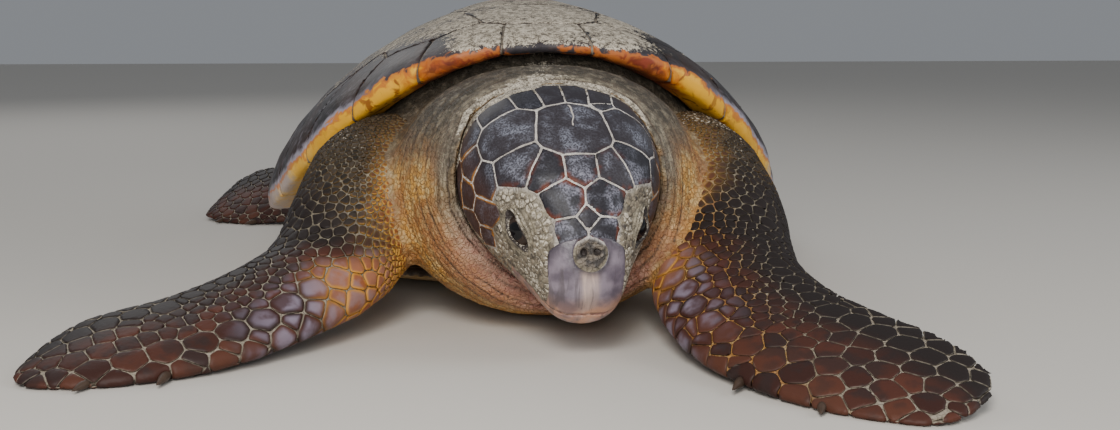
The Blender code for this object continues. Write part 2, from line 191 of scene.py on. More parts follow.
def grown_over(name, bm, voxel, rounds):
    """One closed skin over all the bodies in the bmesh, smoothed."""
    hide = linked(name, bm)
    remesh = hide.modifiers.new("grow", "REMESH")
    remesh.mode = "VOXEL"
    remesh.voxel_size = voxel
    smooth = hide.modifiers.new("smooth", "SMOOTH")
    smooth.factor = 0.5
    smooth.iterations = rounds
    return as_modified(hide)


def coordinates(data):
    """The mesh's vertices as an array, one row each."""
    flat = np.empty(len(data.vertices) * 3, np.float32)
    data.vertices.foreach_get("co", flat)
    return flat.reshape(-1, 3).astype(float)


def normals_of(data):
    """The mesh's outward directions at its vertices."""
    flat = np.empty(len(data.vertices) * 3, np.float32)
    data.vertex_normals.foreach_get("vector", flat)
    return flat.reshape(-1, 3).astype(float)


def put_coordinates(data, places):
    """Moves the mesh's vertices to the places."""
    data.vertices.foreach_set("co", places.astype(np.float32).ravel())
    data.update()


def bump(value, low, high):
    """0 below low and 1 above high, eased."""
    share = np.clip((value - low) / (high - low), 0, 1)
    return share * share * (3 - 2 * share)


def soften(data, values, rounds):
    """The values of a mesh's vertices, each averaged with its neighbours' that many times."""
    ends = np.empty(len(data.edges) * 2, np.int32)
    data.edges.foreach_get("vertices", ends)
    ends = ends.reshape(-1, 2)
    count = np.bincount(ends.ravel(), minlength=len(values)).clip(1)
    for _ in range(rounds):
        total = np.bincount(ends[:, 0], values[ends[:, 1]], len(values))
        total += np.bincount(ends[:, 1], values[ends[:, 0]], len(values))
        values = 0.5 * values + 0.5 * total / count
    return values


def tree_of(*names):
    """A search tree over the nodes' faces, and the node that each face belongs to."""
    verts, faces, owners = [], [], []
    for number, name in enumerate(names):
        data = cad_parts[name].data
        first = len(verts)
        verts.extend(vert.co.copy() for vert in data.vertices)
        faces.extend([first + i for i in face.vertices] for face in data.polygons)
        owners.extend([number] * len(data.polygons))
    return BVHTree.FromPolygons(verts, faces), owners


def nearest_owner(places, names):
    """For each place, the name of the node that it lies nearest to."""
    tree, owners = tree_of(*names)
    return np.array([names[owners[tree.find_nearest(Vector(place))[2]]] for place in places])


def give_values(data, **values):
    """Stores one number for each vertex under each name, for materials to read."""
    for name, numbers in values.items():
        layer = data.attributes.get(name) or data.attributes.new(name, "FLOAT", "POINT")
        layer.data.foreach_set("value", np.asarray(numbers, np.float32))


def turbulence(places, scale, seed=0.0):
    """Smooth noise from -1 to 1 at each place."""
    shift = Vector((seed, 2.3 * seed, -1.7 * seed))
    return np.array([noise.noise(Vector(place) * scale + shift) for place in places])


def in_head(places):
    """The places in the head's own frame: to its left, along the skull, up, and turned from its top."""
    turned = np.array(into_head)
    left, along, up = (places @ turned[:3, :3].T + turned[:3, 3]).T
    return left, along, up, np.abs(np.arctan2(left, up))


def in_body(places):
    """How far the places are to the side of the middle, ahead of it and above the floor."""
    return np.abs(places[:, 0]), -places[:, 1], places[:, 2]


def away_from(places, *spots):
    """How far each place is from the nearest of the spots."""
    return np.min([np.linalg.norm(places - np.array(spot), axis=1) for spot in spots], axis=0)


head_tree, _ = tree_of(*HEAD_FLESH)


def on_head(along, turn):
    """The head's surface at that length along the skull, turned from its top towards its left side."""
    turn = math.radians(turn)
    start = head_root + head_ahead * along
    ray = head_left * math.sin(turn) + head_up * math.cos(turn)
    place, outward, _, _ = head_tree.ray_cast(start + ray * 0.3, -ray)
    return place, outward


# The body: neck, shoulders, limbs, flanks and tail. It is coarse where the shells or the skull hide it.
BODY_SWELL, BODY_VOXEL, BODY_ROUNDS = 0.0006, 0.0073, 9
hide = grown_over("hide", merged_nodes(BODY_FLESH, BODY_SWELL), BODY_VOXEL, BODY_ROUNDS)
shell_tree, _ = tree_of("carapace")
plastron_tree, _ = tree_of("plastron")
shell_low, shell_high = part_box("carapace")
shell_middle, shell_half = (shell_low + shell_high) / 2, (shell_high - shell_low) / 2


def finer(obj, *tests):
    """Halves the edges of the faces that pass the test, for each of the tests in turn."""
    bm = bmesh.new()
    bm.from_mesh(obj.data)
    for wanted in tests:
        edges = {edge for face in bm.faces if wanted(face) for edge in face.edges}
        bmesh.ops.subdivide_edges(bm, edges=list(edges), cuts=1, use_grid_fill=True)
    bm.to_mesh(obj.data)
    bm.free()


DOME_SHARE, DOME_GAP, PLASTRON_GAP, SKULL_DEPTH = 0.78, 0.012, 0.006, 0.008


def hidden(face):
    """Whether a face lies under the dome, on the plastron or inside the skull."""
    middle = face.calc_center_median()
    out = (middle.x / shell_half.x) ** 2 + ((middle.y - shell_middle.y) / shell_half.y) ** 2
    if out < DOME_SHARE and face.normal.z > 0.1 and shell_tree.find_nearest(middle, DOME_GAP)[0] is not None:
        return True
    if face.normal.z < -0.1 and plastron_tree.find_nearest(middle, PLASTRON_GAP)[0] is not None:
        return True
    place, outward, _, _ = head_tree.find_nearest(middle)
    return (middle - place).dot(outward) < -SKULL_DEPTH


def by_head(reach):
    """A test of whether a face shows and lies within reach of the head."""
    return lambda face: head_tree.find_nearest(face.calc_center_median(), reach)[0] and not hidden(face)


BURIED_LOSS = 0.96
bm = bmesh.new()
bm.from_mesh(hide.data)
buried = [vert.index for vert in bm.verts if all(hidden(face) for face in vert.link_faces)]
bm.free()
hide.vertex_groups.new(name="buried").add(buried, 1.0, "REPLACE")
fewer = hide.modifiers.new("fewer", "DECIMATE")
fewer.ratio = 1 - BURIED_LOSS * len(buried) / len(hide.data.vertices)
fewer.vertex_group = "buried"
fewer.vertex_group_factor = 1000.0
as_modified(hide).vertex_groups.clear()
finer(hide, by_head(0.075), by_head(0.031))

# The head, with a ball of lid over each eye, which the slit is then pressed into, and one deep in the neck.
LID, NECK_BALL = 0.0022, 0.055
HEAD_SWELL, HEAD_VOXEL, HEAD_ROUNDS = 0.0004, 0.0041, 8
bm = merged_nodes(HEAD_FLESH, HEAD_SWELL)
balls = [(middle, eye_radius + LID) for middle in eye_middles.values()]
balls.append((head_root - head_up * 0.005, NECK_BALL))
for middle, radius in balls:
    ball = bmesh.ops.create_icosphere(bm, subdivisions=4, radius=radius)["verts"]
    bmesh.ops.translate(bm, verts=ball, vec=middle)
head_hide = grown_over("head_hide", bm, HEAD_VOXEL, HEAD_ROUNDS)
nose = on_head(0.2345, 3)[0]


def by_spot(spot, reach):
    """A test of whether a face lies within reach of the spot."""
    return lambda face: (face.calc_center_median() - spot).length < reach


face_spots = (*eye_middles.values(), nose)
finer(head_hide, *[by_spot(spot, eye_radius + past) for past in (0.016, 0.008) for spot in face_spots])

# The body's hide lies a plate's depth inside the limbs, and folds in rings round the neck behind the skull.
FOLD_STEP, FOLD_DEPTH = 0.0115, 0.0021
FINE_FOLD_STEP, FINE_FOLD_DEPTH = 0.0048, 0.0009
places = coordinates(hide.data)
normals = normals_of(hide.data)
owner = nearest_owner(places, BODY_FLESH)
of_arm = np.char.find(owner, "upper_arm") >= 0
of_flipper = np.char.find(owner, "flipper") >= 0
on_neck = soften(hide.data, (owner == "neck").astype(float), 12)
on_limb = soften(hide.data, (of_arm | of_flipper).astype(float), 3)
on_arm = soften(hide.data, of_arm.astype(float), 8)
from_head = np.array([head_tree.find_nearest(Vector(place))[3] for place in places])
wander = turbulence(places, 16.0)
ring_place = from_head + 0.0035 * wander + 0.0012 * turbulence(places, 70.0, 3.0)
deep_fold = np.abs(np.sin((ring_place + 0.002) / FOLD_STEP * math.pi)) ** 0.6 - 0.7
fine_fold = np.abs(np.sin(ring_place / FINE_FOLD_STEP * math.pi)) ** 0.8 - 0.6
near_neck = np.clip(on_neck * 1.4, 0, 1) * (1 - bump(from_head, 0.075, 0.11))
strong = np.clip(0.65 + 0.6 * turbulence(places, 26.0, 4.0), 0.15, 1.1)
folds = near_neck * (FOLD_DEPTH * strong * deep_fold + FINE_FOLD_DEPTH * fine_fold) - 0.0004 * near_neck
creases = (1 - on_limb) * (1 - near_neck) * 0.0009 * (np.abs(turbulence(places, 55.0, 5.0)) * 2 - 0.6)
lifted = folds + creases - (PLATE_DEPTH + 0.0008) * on_limb
put_coordinates(hide.data, places + normals * lifted[:, None])

# Its values: ochre below and on the flanks, pink at the throat, painted shade in the folds' hollows, sand on
# the nape, and darker mottling with painted shade on the nape under the shell's rim and where the neck meets
# the head.
aside, ahead, up = in_body(places)
shade = turbulence(places, 9.0, 1.0)
low_side = bump(-normals[:, 2] + 0.25 * shade, -0.42, 0.12)
inner = (1 - bump(aside, 0.15, 0.20)) * bump(-up, -0.235, -0.15) * bump(ahead, 0.3, 0.4)
outer_ring = bump(from_head, 0.012, 0.035)
arm_tree, _ = tree_of("upper_arm_left", "upper_arm_right")
from_arm = np.array([arm_tree.find_nearest(Vector(place))[3] for place in places])
beside_arm = (1 - bump(from_arm + 0.02 * shade, 0.012, 0.065)) * bump(-up, -0.265, -0.20)
warmth = np.maximum(low_side * (0.45 + 0.55 * outer_ring), inner * outer_ring * 0.9)
warmth = np.maximum(warmth, beside_arm * on_neck) * (1 - 0.75 * on_arm * bump(aside, 0.20, 0.26))
crease_sand = (1 - bump(from_head + 0.006 * wander, 0.004, 0.013)) * bump(up, 0.19, 0.235)
middle_sand = (1 - bump(aside + 0.01 * shade, 0.012, 0.05)) * bump(up, 0.245, 0.275)
# Darker mottling with painted shade: on the nape under the shell's rim, and at half strength where the neck
# meets the head.
dusk = bump(from_head + 0.006 * wander, 0.010, 0.026) * bump(up + 0.03 * shade, 0.17, 0.24)
dusk = np.maximum(dusk, 0.5 * (1 - bump(from_head, 0.006, 0.02)) * bump(0.25 - up, 0, 0.05))
on_blade = of_flipper * bump(aside, 0.17, 0.24)
give_values(
    hide.data,
    ochre=soften(hide.data, warmth, 2),
    pink=bump(-up, -0.15, -0.05) * (1 - bump(from_head, 0.03, 0.065)) * on_neck,
    fold=np.clip(near_neck * (strong * deep_fold + 0.35 * fine_fold) * 1.5, -1, 1),
    heap=np.maximum(crease_sand, 0.42 * middle_sand),
    dusk=dusk,
    blade=soften(hide.data, on_blade, 3),
)


def gaze(side):
    """The direction in which the eye of that side looks."""
    return (head_left * (0.75 if side == "left" else -0.75) + head_ahead * 0.55 + head_up * 0.36).normalized()


# The head's hide: the lids' slits slope down and forward, and a soft pad over the beak holds the nostrils.
places = coordinates(head_hide.data)
normals = normals_of(head_hide.data)
lid_line = np.zeros(len(places))
round_eye = np.zeros(len(places))
lifted = np.full(len(places), -PLATE_DEPTH)
SLIT_HALF, SLIT_OPEN, SLIT_SLOPE = 0.0224, 0.0070, math.radians(-16)
LID_RING, LID_RING_STEP = 0.0006, 0.0044
moves = np.zeros((len(places), 3))
for side, middle in eye_middles.items():
    outward = gaze(side)
    across = head_ahead * math.cos(SLIT_SLOPE) + head_up * math.sin(SLIT_SLOPE)
    across = (across - outward * across.dot(outward)).normalized()
    over = outward.cross(across)
    spoke = places - np.array(middle)
    reach = np.linalg.norm(spoke, axis=1)
    along = spoke @ np.array(across)
    off = spoke @ np.array(over)
    facing = bump(spoke @ np.array(outward), 0.001, 0.006)
    opening = SLIT_OPEN * np.sqrt(np.clip(1 - (along / SLIT_HALF) ** 2, 0, 1))
    past_end = np.clip(np.abs(along) - SLIT_HALF, 0, None)
    from_edge = np.hypot(np.abs(off) - opening, past_end) * np.sign(np.abs(off) - opening + 1e-6)
    near = facing * (1 - bump(reach, eye_radius + 0.006, eye_radius + 0.014))
    rings = LID_RING * np.sin(from_edge / LID_RING_STEP * 2 * math.pi) * bump(from_edge, 0.0012, 0.003)
    rings *= 1 - bump(from_edge, 0.012, 0.020)
    lip = 0.0008 * np.exp(-(((from_edge - 0.0022) / 0.0014) ** 2))
    inside = facing * bump(-from_edge, -0.0003, 0.0012) * (reach < eye_radius + 0.008)
    sunk = np.minimum(0, eye_radius - 0.0035 - reach)
    spared = near * (1 - bump(from_edge, 0.006, 0.013))
    lifted = lifted * (1 - spared) + near * (rings + lip)
    moves += (spoke / reach[:, None]) * (inside * sunk)[:, None]
    corner = np.exp(-((off / 0.0017) ** 2)) * bump(past_end, 0.0, 0.001) * (1 - bump(past_end, 0.004, 0.011))
    lifted -= 0.0012 * near * corner
    # Painted shade: a dark line along each slit's edge and down its corner creases.
    lid_line = np.maximum(lid_line, near * np.maximum(np.exp(-((from_edge / 0.0024) ** 2)), corner))
    round_eye = np.maximum(round_eye, near * (1 - bump(from_edge, 0.006, 0.016)))
from_nose = away_from(places, nose)
pad = 1 - bump(from_nose, 0.012, 0.017)
pits = [nose + head_left * 0.0066 * way + head_up * 0.002 for way in (-1, 1)]
nostrils = 1 - bump(away_from(places, *pits), 0.0020, 0.0056)
lumps = 0.0007 * turbulence(places, 330.0, 8.0) + 0.0006 * turbulence(places, 150.0, 9.0)
pad_edge = np.exp(-(((from_nose - 0.0125) / 0.003) ** 2))
lifted = lifted + pad * (0.0007 + lumps) + 0.0010 * pad_edge - 0.0042 * nostrils
put_coordinates(head_hide.data, places + normals * lifted[:, None] + moves)
_, skull_along, _, skull_turn = in_head(places)
give_values(
    head_hide.data,
    ochre=bump(skull_turn, 1.5, 2.2) * (1 - bump(skull_along, 0.12, 0.2)),
    pink=bump(skull_turn, 2.0, 2.6) * 0.7,
    nose=np.clip(pad + nostrils, 0, 1),
    # Painted shade in the eye slits, their corner creases and the nostrils.
    lid=np.maximum(lid_line, bump(nostrils, 0.1, 0.7)),
    eye_sand=round_eye,
    skull=np.ones(len(places)),
    heap=(1 - bump(skull_along, 0.044, 0.054)) * (1 - bump(skull_turn, 0.9, 1.25)),
)


def new_finish(name, roughness, coat=0.0, specular=0.5):
    """A material with its shader, on which the constant numbers are set."""
    made = bpy.data.materials.new(name)
    made.use_nodes = True
    shader = made.node_tree.nodes["Principled BSDF"]
    shader.inputs["Roughness"].default_value = roughness
    shader.inputs["Coat Weight"].default_value = coat
    shader.inputs["Coat Roughness"].default_value = 0.22
    shader.inputs["Specular IOR Level"].default_value = specular
    return made, made.node_tree, shader


class Signal:
    """A number or a colour on its way through a material's nodes. Sums on it become nodes."""

    def __init__(self, socket):
        self.socket, self.tree = socket, socket.id_data

    def worked(self, operation, first, second=0.0):
        maths = self.tree.nodes.new("ShaderNodeMath")
        maths.operation = operation
        put(maths.inputs[0], first)
        put(maths.inputs[1], second)
        return Signal(maths.outputs[0])

    def __add__(self, other):
        return self.worked("ADD", self, other)

    def __sub__(self, other):
        return self.worked("SUBTRACT", self, other)

    def __rsub__(self, other):
        return self.worked("SUBTRACT", other, self)

    def __mul__(self, other):
        return self.worked("MULTIPLY", self, other)

    def at_least(self, other):
        return self.worked("MAXIMUM", self, other)

    def waves(self):
        return self.worked("SINE", self)


def put(socket, value):
    """Sets the socket, or links it where the value comes from another node."""
    if isinstance(value, Signal):
        socket.id_data.links.new(value.socket, socket)
    elif isinstance(value, tuple) and len(value) == 3 and socket.type == "RGBA":
        socket.default_value = (*value, 1.0)
    else:
        socket.default_value = value


def blended(share, first, second):
    """Two colours mixed by a share."""
    mix = share.tree.nodes.new("ShaderNodeMix")
    mix.data_type = "RGBA"
    put(mix.inputs["Factor"], share)
    put(mix.inputs[6], first)
    put(mix.inputs[7], second)
    return Signal(mix.outputs[2])


def layered(colour, *coats):
    """A colour under coats of others, each given as the share of it that shows and its colour."""
    for share, coat in coats:
        colour = blended(share, colour, coat)
    return colour


def ranged(value, low, high, start=0.0, end=1.0):
    """The value eased from its range to another."""
    fit = value.tree.nodes.new("ShaderNodeMapRange")
    fit.interpolation_type = "SMOOTHSTEP"
    for name, number in (
        ("Value", value), ("From Min", low), ("From Max", high), ("To Min", start), ("To Max", end),
    ):
        put(fit.inputs[name], number)
    return Signal(fit.outputs["Result"])


def stored(tree, name):
    """A number kept on the mesh's vertices."""
    reader = tree.nodes.new("ShaderNodeAttribute")
    reader.attribute_name = name
    return Signal(reader.outputs["Fac"])


def patterned(tree, kind, **settings):
    """A pattern node laid out by the place on the object, with its sockets set."""
    pattern = tree.nodes.new(kind)
    put(pattern.inputs["Vector"], Signal(tree.nodes.new("ShaderNodeTexCoord").outputs["Object"]))
    for name, value in settings.items():
        put(pattern.inputs[name], value)
    return pattern


def spots(tree, scale, detail=3.0, stretch=None, warp=0.0):
    """Soft noise by the place on the object."""
    pattern = patterned(tree, "ShaderNodeTexNoise", Scale=scale, Detail=detail, Distortion=warp)
    if stretch:
        mapping = tree.nodes.new("ShaderNodeMapping")
        put(mapping.inputs["Scale"], stretch)
        put(mapping.inputs["Vector"], Signal(pattern.inputs["Vector"].links[0].from_socket))
        put(pattern.inputs["Vector"], Signal(mapping.outputs["Vector"]))
    return Signal(pattern.outputs["Fac"])


def cells(tree, scale):
    """How far each place on the object is from the edges of a pattern of small cells."""
    pattern = patterned(tree, "ShaderNodeTexVoronoi", Scale=scale)
    pattern.feature = "DISTANCE_TO_EDGE"
    return Signal(pattern.outputs["Distance"])


def bumped(shader, height, distance, strength=1.0):
    """Relief of that depth in the shader's normals."""
    relief = shader.id_data.nodes.new("ShaderNodeBump")
    relief.inputs["Strength"].default_value = strength
    relief.inputs["Distance"].default_value = distance
    put(relief.inputs["Height"], height)
    put(shader.inputs["Normal"], Signal(relief.outputs["Normal"]))


# Dry beach sand, which lies in drifts on what faces upwards, for every finish that it lies on.
dusting = bpy.data.node_groups.new("dry_sand", "ShaderNodeTree")
for name, way, kind in (
    ("Amount", "INPUT", "NodeSocketFloat"), ("Mask", "OUTPUT", "NodeSocketFloat"),
    ("Grain", "OUTPUT", "NodeSocketFloat"), ("Colour", "OUTPUT", "NodeSocketColor"),
):
    dusting.interface.new_socket(name, in_out=way, socket_type=kind)
inlet, outlet = dusting.nodes.new("NodeGroupInput"), dusting.nodes.new("NodeGroupOutput")
upward = dusting.nodes.new("ShaderNodeSeparateXYZ")
put(upward.inputs[0], Signal(dusting.nodes.new("ShaderNodeNewGeometry").outputs["Normal"]))
drift = spots(dusting, 16.0, 5.0)
fleck = spots(dusting, 560.0, 2.0)
clot = spots(dusting, 150.0, 4.0)
lying = Signal(upward.outputs["Z"]) * 0.42 + drift * 0.75 + fleck * 0.6 + clot * 0.6
put(outlet.inputs["Mask"], ranged(lying + Signal(inlet.outputs["Amount"]), 1.4, 1.54))
put(outlet.inputs["Grain"], fleck)
grains = fleck * 0.5 + clot * 0.5
put(outlet.inputs["Colour"], blended(ranged(grains, 0.4, 0.6), (0.15, 0.128, 0.098), (0.56, 0.5, 0.4)))


def sanded(colour, amount):
    """The colour under a drift of dry sand, how much of the sand shows, and its grain."""
    group = colour.tree.nodes.new("ShaderNodeGroup")
    group.node_tree = dusting
    put(group.inputs["Amount"], amount)
    mask, grain, sand = (Signal(group.outputs[name]) for name in ("Mask", "Grain", "Colour"))
    return blended(mask, colour, sand), mask, grain


# The hide's finish: speckled grey-brown skin in small dark tiles, warmer, rosy or bare by its values, with
# painted shade in the folds' hollows, under the shell's rim, where the neck meets the head, along the eye
# slits and in the nostrils.
hide_finish, tree, shader = new_finish("skin_hide", 0.62)
speck, blotch = spots(tree, 120.0, 4.0), spots(tree, 22.0, 4.0)
ochre, dusk, flipper = stored(tree, "ochre"), stored(tree, "dusk"), stored(tree, "blade")
roof, nose_pad = stored(tree, "roof"), stored(tree, "nose")
net = cells(tree, 190.0)
pores = ranged(net, 0.0, 0.16)
warm = layered(
    blended(ranged(blotch, 0.35, 0.65), (0.56, 0.29, 0.055), (0.38, 0.16, 0.04)),
    (ranged(speck, 0.45, 0.62), (0.6, 0.4, 0.15)),
)
skin_colour = layered(
    blended(ranged(speck, 0.35, 0.65), (0.1, 0.085, 0.06), (0.29, 0.25, 0.18)),
    (ochre, warm),
    (stored(tree, "pink"), blended(ranged(speck, 0.4, 0.6), (0.42, 0.19, 0.15), (0.5, 0.27, 0.2))),
    (
        pores * 0.75 * (1.0 - stored(tree, "skull")) * ranged(blotch, 0.38, 0.6),
        blended(ochre, (0.115, 0.085, 0.06), (0.3, 0.13, 0.035)),
    ),
    ((1.0 - ranged(net, 0.02, 0.13)) * ochre * 0.65, (0.2, 0.085, 0.022)),
    # Darker mottling and painted shade on the nape under the shell's rim and where the neck meets the head.
    (dusk * ranged(spots(tree, 75.0, 5.0, warp=1.0), 0.36, 0.6, 0.45, 1.0), (0.045, 0.037, 0.026)),
    # Painted shade: the hollows of the neck's folds darkened.
    (ranged(stored(tree, "fold"), -0.8, 0.12, 0.92, 0.0), (0.05, 0.03, 0.018)),
    (roof, blended(ranged(blotch, 0.4, 0.6), (0.62, 0.58, 0.54), (0.44, 0.4, 0.36))),
    (nose_pad, blended(ranged(speck, 0.42, 0.58), (0.045, 0.038, 0.034), (0.17, 0.14, 0.11))),
    (flipper, (0.28, 0.24, 0.185)),
    # Painted shade in the eye slits, their corner creases and the nostrils.
    (ranged(stored(tree, "lid"), 0.3, 0.9), (0.03, 0.022, 0.02)),
)
amount = stored(tree, "eye_sand") * 0.3 - 0.04 - dusk * 0.26 + stored(tree, "heap") * 0.75
amount = amount - nose_pad * 0.12 - ochre * 0.2 - flipper * 0.2 - roof * 0.3
skin_colour, _, _ = sanded(skin_colour, amount)
put(shader.inputs["Base Color"], skin_colour)
bumped(shader, pores * 0.8 + spots(tree, 420.0, 2.0) * 0.5, 0.0012, 0.9)
for piece in (hide, head_hide):
    piece.data.materials.clear()
    piece.data.materials.append(hide_finish)

# ---------------------------------------------------------------- plates
# Horny plates lie side by side over the hide, like tiles with a narrow seam of bare skin between them.
# Each one is a patch of the flesh's own surface, cut along the line midway to each of its neighbours,
# domed a little, rolled down at its border and closed underneath.


def search_tree(places):
    """A search tree over the places, which gives the number of the nearest and how far it is."""
    tree = KDTree(len(places))
    for number, place in enumerate(places):
        tree.insert(place, number)
    tree.balance()
    return tree


def gaps(tree, places):
    """How far each place is from the nearest in the search tree."""
    return np.array([tree.find(place)[2] for place in places])


def surface_of(name, nodes, voxel, rounds):
    """A fine even surface over the nodes, to cut plates from: its faces, their middles and directions."""
    source = grown_over(name, merged_nodes(nodes, 0.0), voxel, rounds)
    bm = bmesh.new()
    bm.from_mesh(source.data)
    bm.faces.ensure_lookup_table()
    middles = np.array([face.calc_center_median() for face in bm.faces])
    outward = np.array([face.normal for face in bm.faces])
    bpy.data.objects.remove(source)
    return {"bm": bm, "middles": middles, "outward": outward, "tree": search_tree(middles)}


def cut_out(surface, numbers, *values):
    """A bmesh of those faces of the surface, and the layers for those values on its vertices."""
    cell = bmesh.new()
    layers = [cell.verts.layers.float.new(value) for value in values]
    copied = {}
    for number in numbers:
        corners = []
        for vert in surface["bm"].faces[int(number)].verts:
            if vert.index not in copied:
                copied[vert.index] = cell.verts.new(vert.co)
            corners.append(copied[vert.index])
        cell.faces.new(corners)
    return cell, layers


NEIGHBOUR_REACH = 1.6


class Seed:
    """A plate's place on a surface and its rough radius. A level plate's borders stand upright, and facing is
    how far its faces may turn away from its own direction."""

    def __init__(self, place, outward, size, guard=False, level=False, facing=0.0):
        self.place, self.outward, self.size = Vector(place), Vector(outward).normalized(), size
        self.guard, self.level, self.facing = guard, level, facing


def midway_planes(cell, seeds, number, beside, seam):
    """Cuts the plate off midway to each of its neighbours, a seam apart, and returns the cuts."""
    seed, planes = seeds[number], []
    for _, index, _ in sorted(beside, key=lambda hit: hit[2]):
        other = seeds[index]
        if index == number or (seed.outward.dot(other.outward) < -0.3 and not seed.level):
            continue
        away = other.place - seed.place
        if seed.level:
            away.z = 0.0
        span = away.length
        if span < 1e-5 or span > (seed.size + other.size) * NEIGHBOUR_REACH:
            continue
        shift = (span * span + seed.size ** 2 - other.size ** 2) / (2 * span) - seam / 2
        away.normalize()
        planes.append((seed.place + away * shift, away))
        bmesh.ops.bisect_plane(
            cell, geom=cell.verts[:] + cell.edges[:] + cell.faces[:], dist=1e-6,
            plane_co=planes[-1][0], plane_no=away, clear_outer=True,
        )
        if not cell.faces:
            break
    return planes


def tiled(
    name, surface, seeds, seam, lip, dome, rolled, sink=0.0, reach=1.7, unwrap=None, patch=0.003, merge=0.1
):
    """All the seeds' plates as one piece. Guards only bound their neighbours and give no plate. A border is
    rolled down by the dome, lip and sink, and merge is how close corners become one, of the radius."""
    seed_tree = search_tree([seed.place for seed in seeds])
    largest = max(seed.size for seed in seeds)
    made = bmesh.new()
    scratch = bpy.data.meshes.new("scratch")
    tones = np.random.default_rng(len(seeds)).random(len(seeds))
    for number, seed in enumerate(seeds):
        if seed.guard:
            continue
        found = surface["tree"].find_range(seed.place, max(seed.size, 0.3 * largest) * reach)
        near = [i for _, i, _ in found if Vector(surface["outward"][i]).dot(seed.outward) >= seed.facing]
        cell, (tone, edge) = cut_out(surface, near, "tone", "edge")
        beside = seed_tree.find_range(seed.place, (seed.size + largest) * NEIGHBOUR_REACH)
        planes = midway_planes(cell, seeds, number, beside, seam)
        if not cell.faces:
            cell.free()
            continue
        keep_main_part(cell, seed.place)
        bmesh.ops.remove_doubles(cell, verts=cell.verts[:], dist=seed.size * merge)
        bmesh.ops.delete(cell, geom=[side for side in cell.edges if side.is_wire], context="EDGES")
        bmesh.ops.delete(cell, geom=[vert for vert in cell.verts if not vert.link_faces], context="VERTS")
        rim = [vert for vert in cell.verts if vert.is_boundary]
        if len(rim) < 3 or not cell.faces:
            cell.free()
            continue
        round_off(rim, 2)
        roll = min(rolled, seed.size * 0.3)
        bmesh.ops.inset_region(
            cell, faces=cell.faces[:], thickness=roll, use_boundary=True, use_even_offset=False
        )
        cell.normal_update()
        for vert in cell.verts:
            depth = min([(place - vert.co).dot(away) for place, away in planes] or [seed.size])
            share = min(max(depth / seed.size, 0.0), 1.0)
            vert[edge] = 0.0 if vert.is_boundary else share
            vert[tone] = tones[number]
            if vert.is_boundary:
                height = -(lip + dome + sink)
            else:
                height = -dome * (1 - min(share / 0.7, 1.0)) ** 2
            vert.co += vert.normal * height
        close_under(cell)
        if all(len(side.link_faces) == 2 for side in cell.edges):
            if unwrap:
                lay_flat(cell, seed, unwrap, patch)
            cell.to_mesh(scratch)
            made.from_mesh(scratch)
            scratch.clear_geometry()
        cell.free()
    bpy.data.meshes.remove(scratch)
    return linked(name, made)


def wavered(piece, amount, scale):
    """Moves the piece sideways by smooth noise, so that its straight seams waver. Neighbours move alike."""
    places, normals = coordinates(piece.data), normals_of(piece.data)
    drift = np.stack([turbulence(places, scale, seed) for seed in (3.0, 17.0, 41.0)], axis=1) * amount
    drift -= normals * (drift * normals).sum(axis=1)[:, None]
    put_coordinates(piece.data, places + drift)


def close_under(cell):
    """Closes a plate underneath, with all its faces outwards."""
    cell.normal_update()
    face = next(iter(cell.faces))
    outward = face.normal.copy()
    bmesh.ops.holes_fill(cell, edges=[side for side in cell.edges if side.is_boundary], sides=0)
    bmesh.ops.recalc_face_normals(cell, faces=cell.faces)
    if face.normal.dot(outward) < 0:
        bmesh.ops.reverse_faces(cell, faces=cell.faces)


def hanging_together(first, beside, enough=math.inf):
    """All that can be reached from the first by way of what is beside each, until that is enough."""
    found, front = {first}, [first]
    while front and len(found) < enough:
        for other in beside(front.pop()):
            if other not in found:
                found.add(other)
                front.append(other)
    return found


def faces_beside(face):
    return [other for edge in face.edges for other in edge.link_faces]


def verts_beside(vert):
    return [edge.other_vert(vert) for edge in vert.link_edges]


def keep_main_part(cell, place):
    """Drops the scraps that the cuts left, and keeps the part nearest to the plate's own place."""
    nearest = min(cell.faces, key=lambda face: (face.calc_center_median() - place).length)
    kept = hanging_together(nearest, faces_beside)
    bmesh.ops.delete(cell, geom=[face for face in cell.faces if face not in kept], context="FACES")


def round_off(rim, rounds):
    """Rounds a plate's corners: each border corner moves towards the middle of its two neighbours."""
    pairs = []
    for vert in rim:
        beside = [edge.other_vert(vert) for edge in vert.link_edges if edge.is_boundary]
        if len(beside) == 2:
            pairs.append((vert, beside))
    for _ in range(rounds):
        moved = [(vert, vert.co * 0.5 + (a.co + b.co) * 0.25) for vert, (a, b) in pairs]
        for vert, place in moved:
            vert.co = place


def lay_flat(cell, seed, unwrap, patch):
    """The plate's place in the map OFBake: a small patch at its root's place on the skin's own unwrap."""
    layer = cell.loops.layers.uv.new("OFBake")
    side = seed.outward.orthogonal().normalized()
    over = seed.outward.cross(side)
    centre = unwrap(seed.place)
    for face in cell.faces:
        for loop in face.loops:
            off = loop.vert.co - seed.place
            u = off.dot(side) / (seed.size * 2.6)
            v = off.dot(over) / (seed.size * 2.6)
            loop[layer].uv = (centre[0] + u * patch, centre[1] + v * patch)


# ---------------------------------------------------------------- carapace
# The upper shell: one nuchal, five vertebral, five pairs of costal and twelve pairs of marginal scutes of
# thick red-brown horn over a bony dome. They are cut from the dome's own surface, a narrow seam apart.

BONE_DEPTH = 0.0021
dome_surface = surface_of("dome_surface", ("carapace",), voxel=0.0052, rounds=10)
shell_length = shell_half.y * 2


def under(x, y):
    """The dome's top at that place, and the direction in which it faces."""
    return shell_tree.ray_cast(Vector((x, y, 1.0)), Vector((0, 0, -1)))[:2]


def on_dome(share, across):
    """The dome's top at that share of its length from the front, and of its half width from the middle."""
    return under(across * shell_half.x, shell_low.y + share * shell_length)


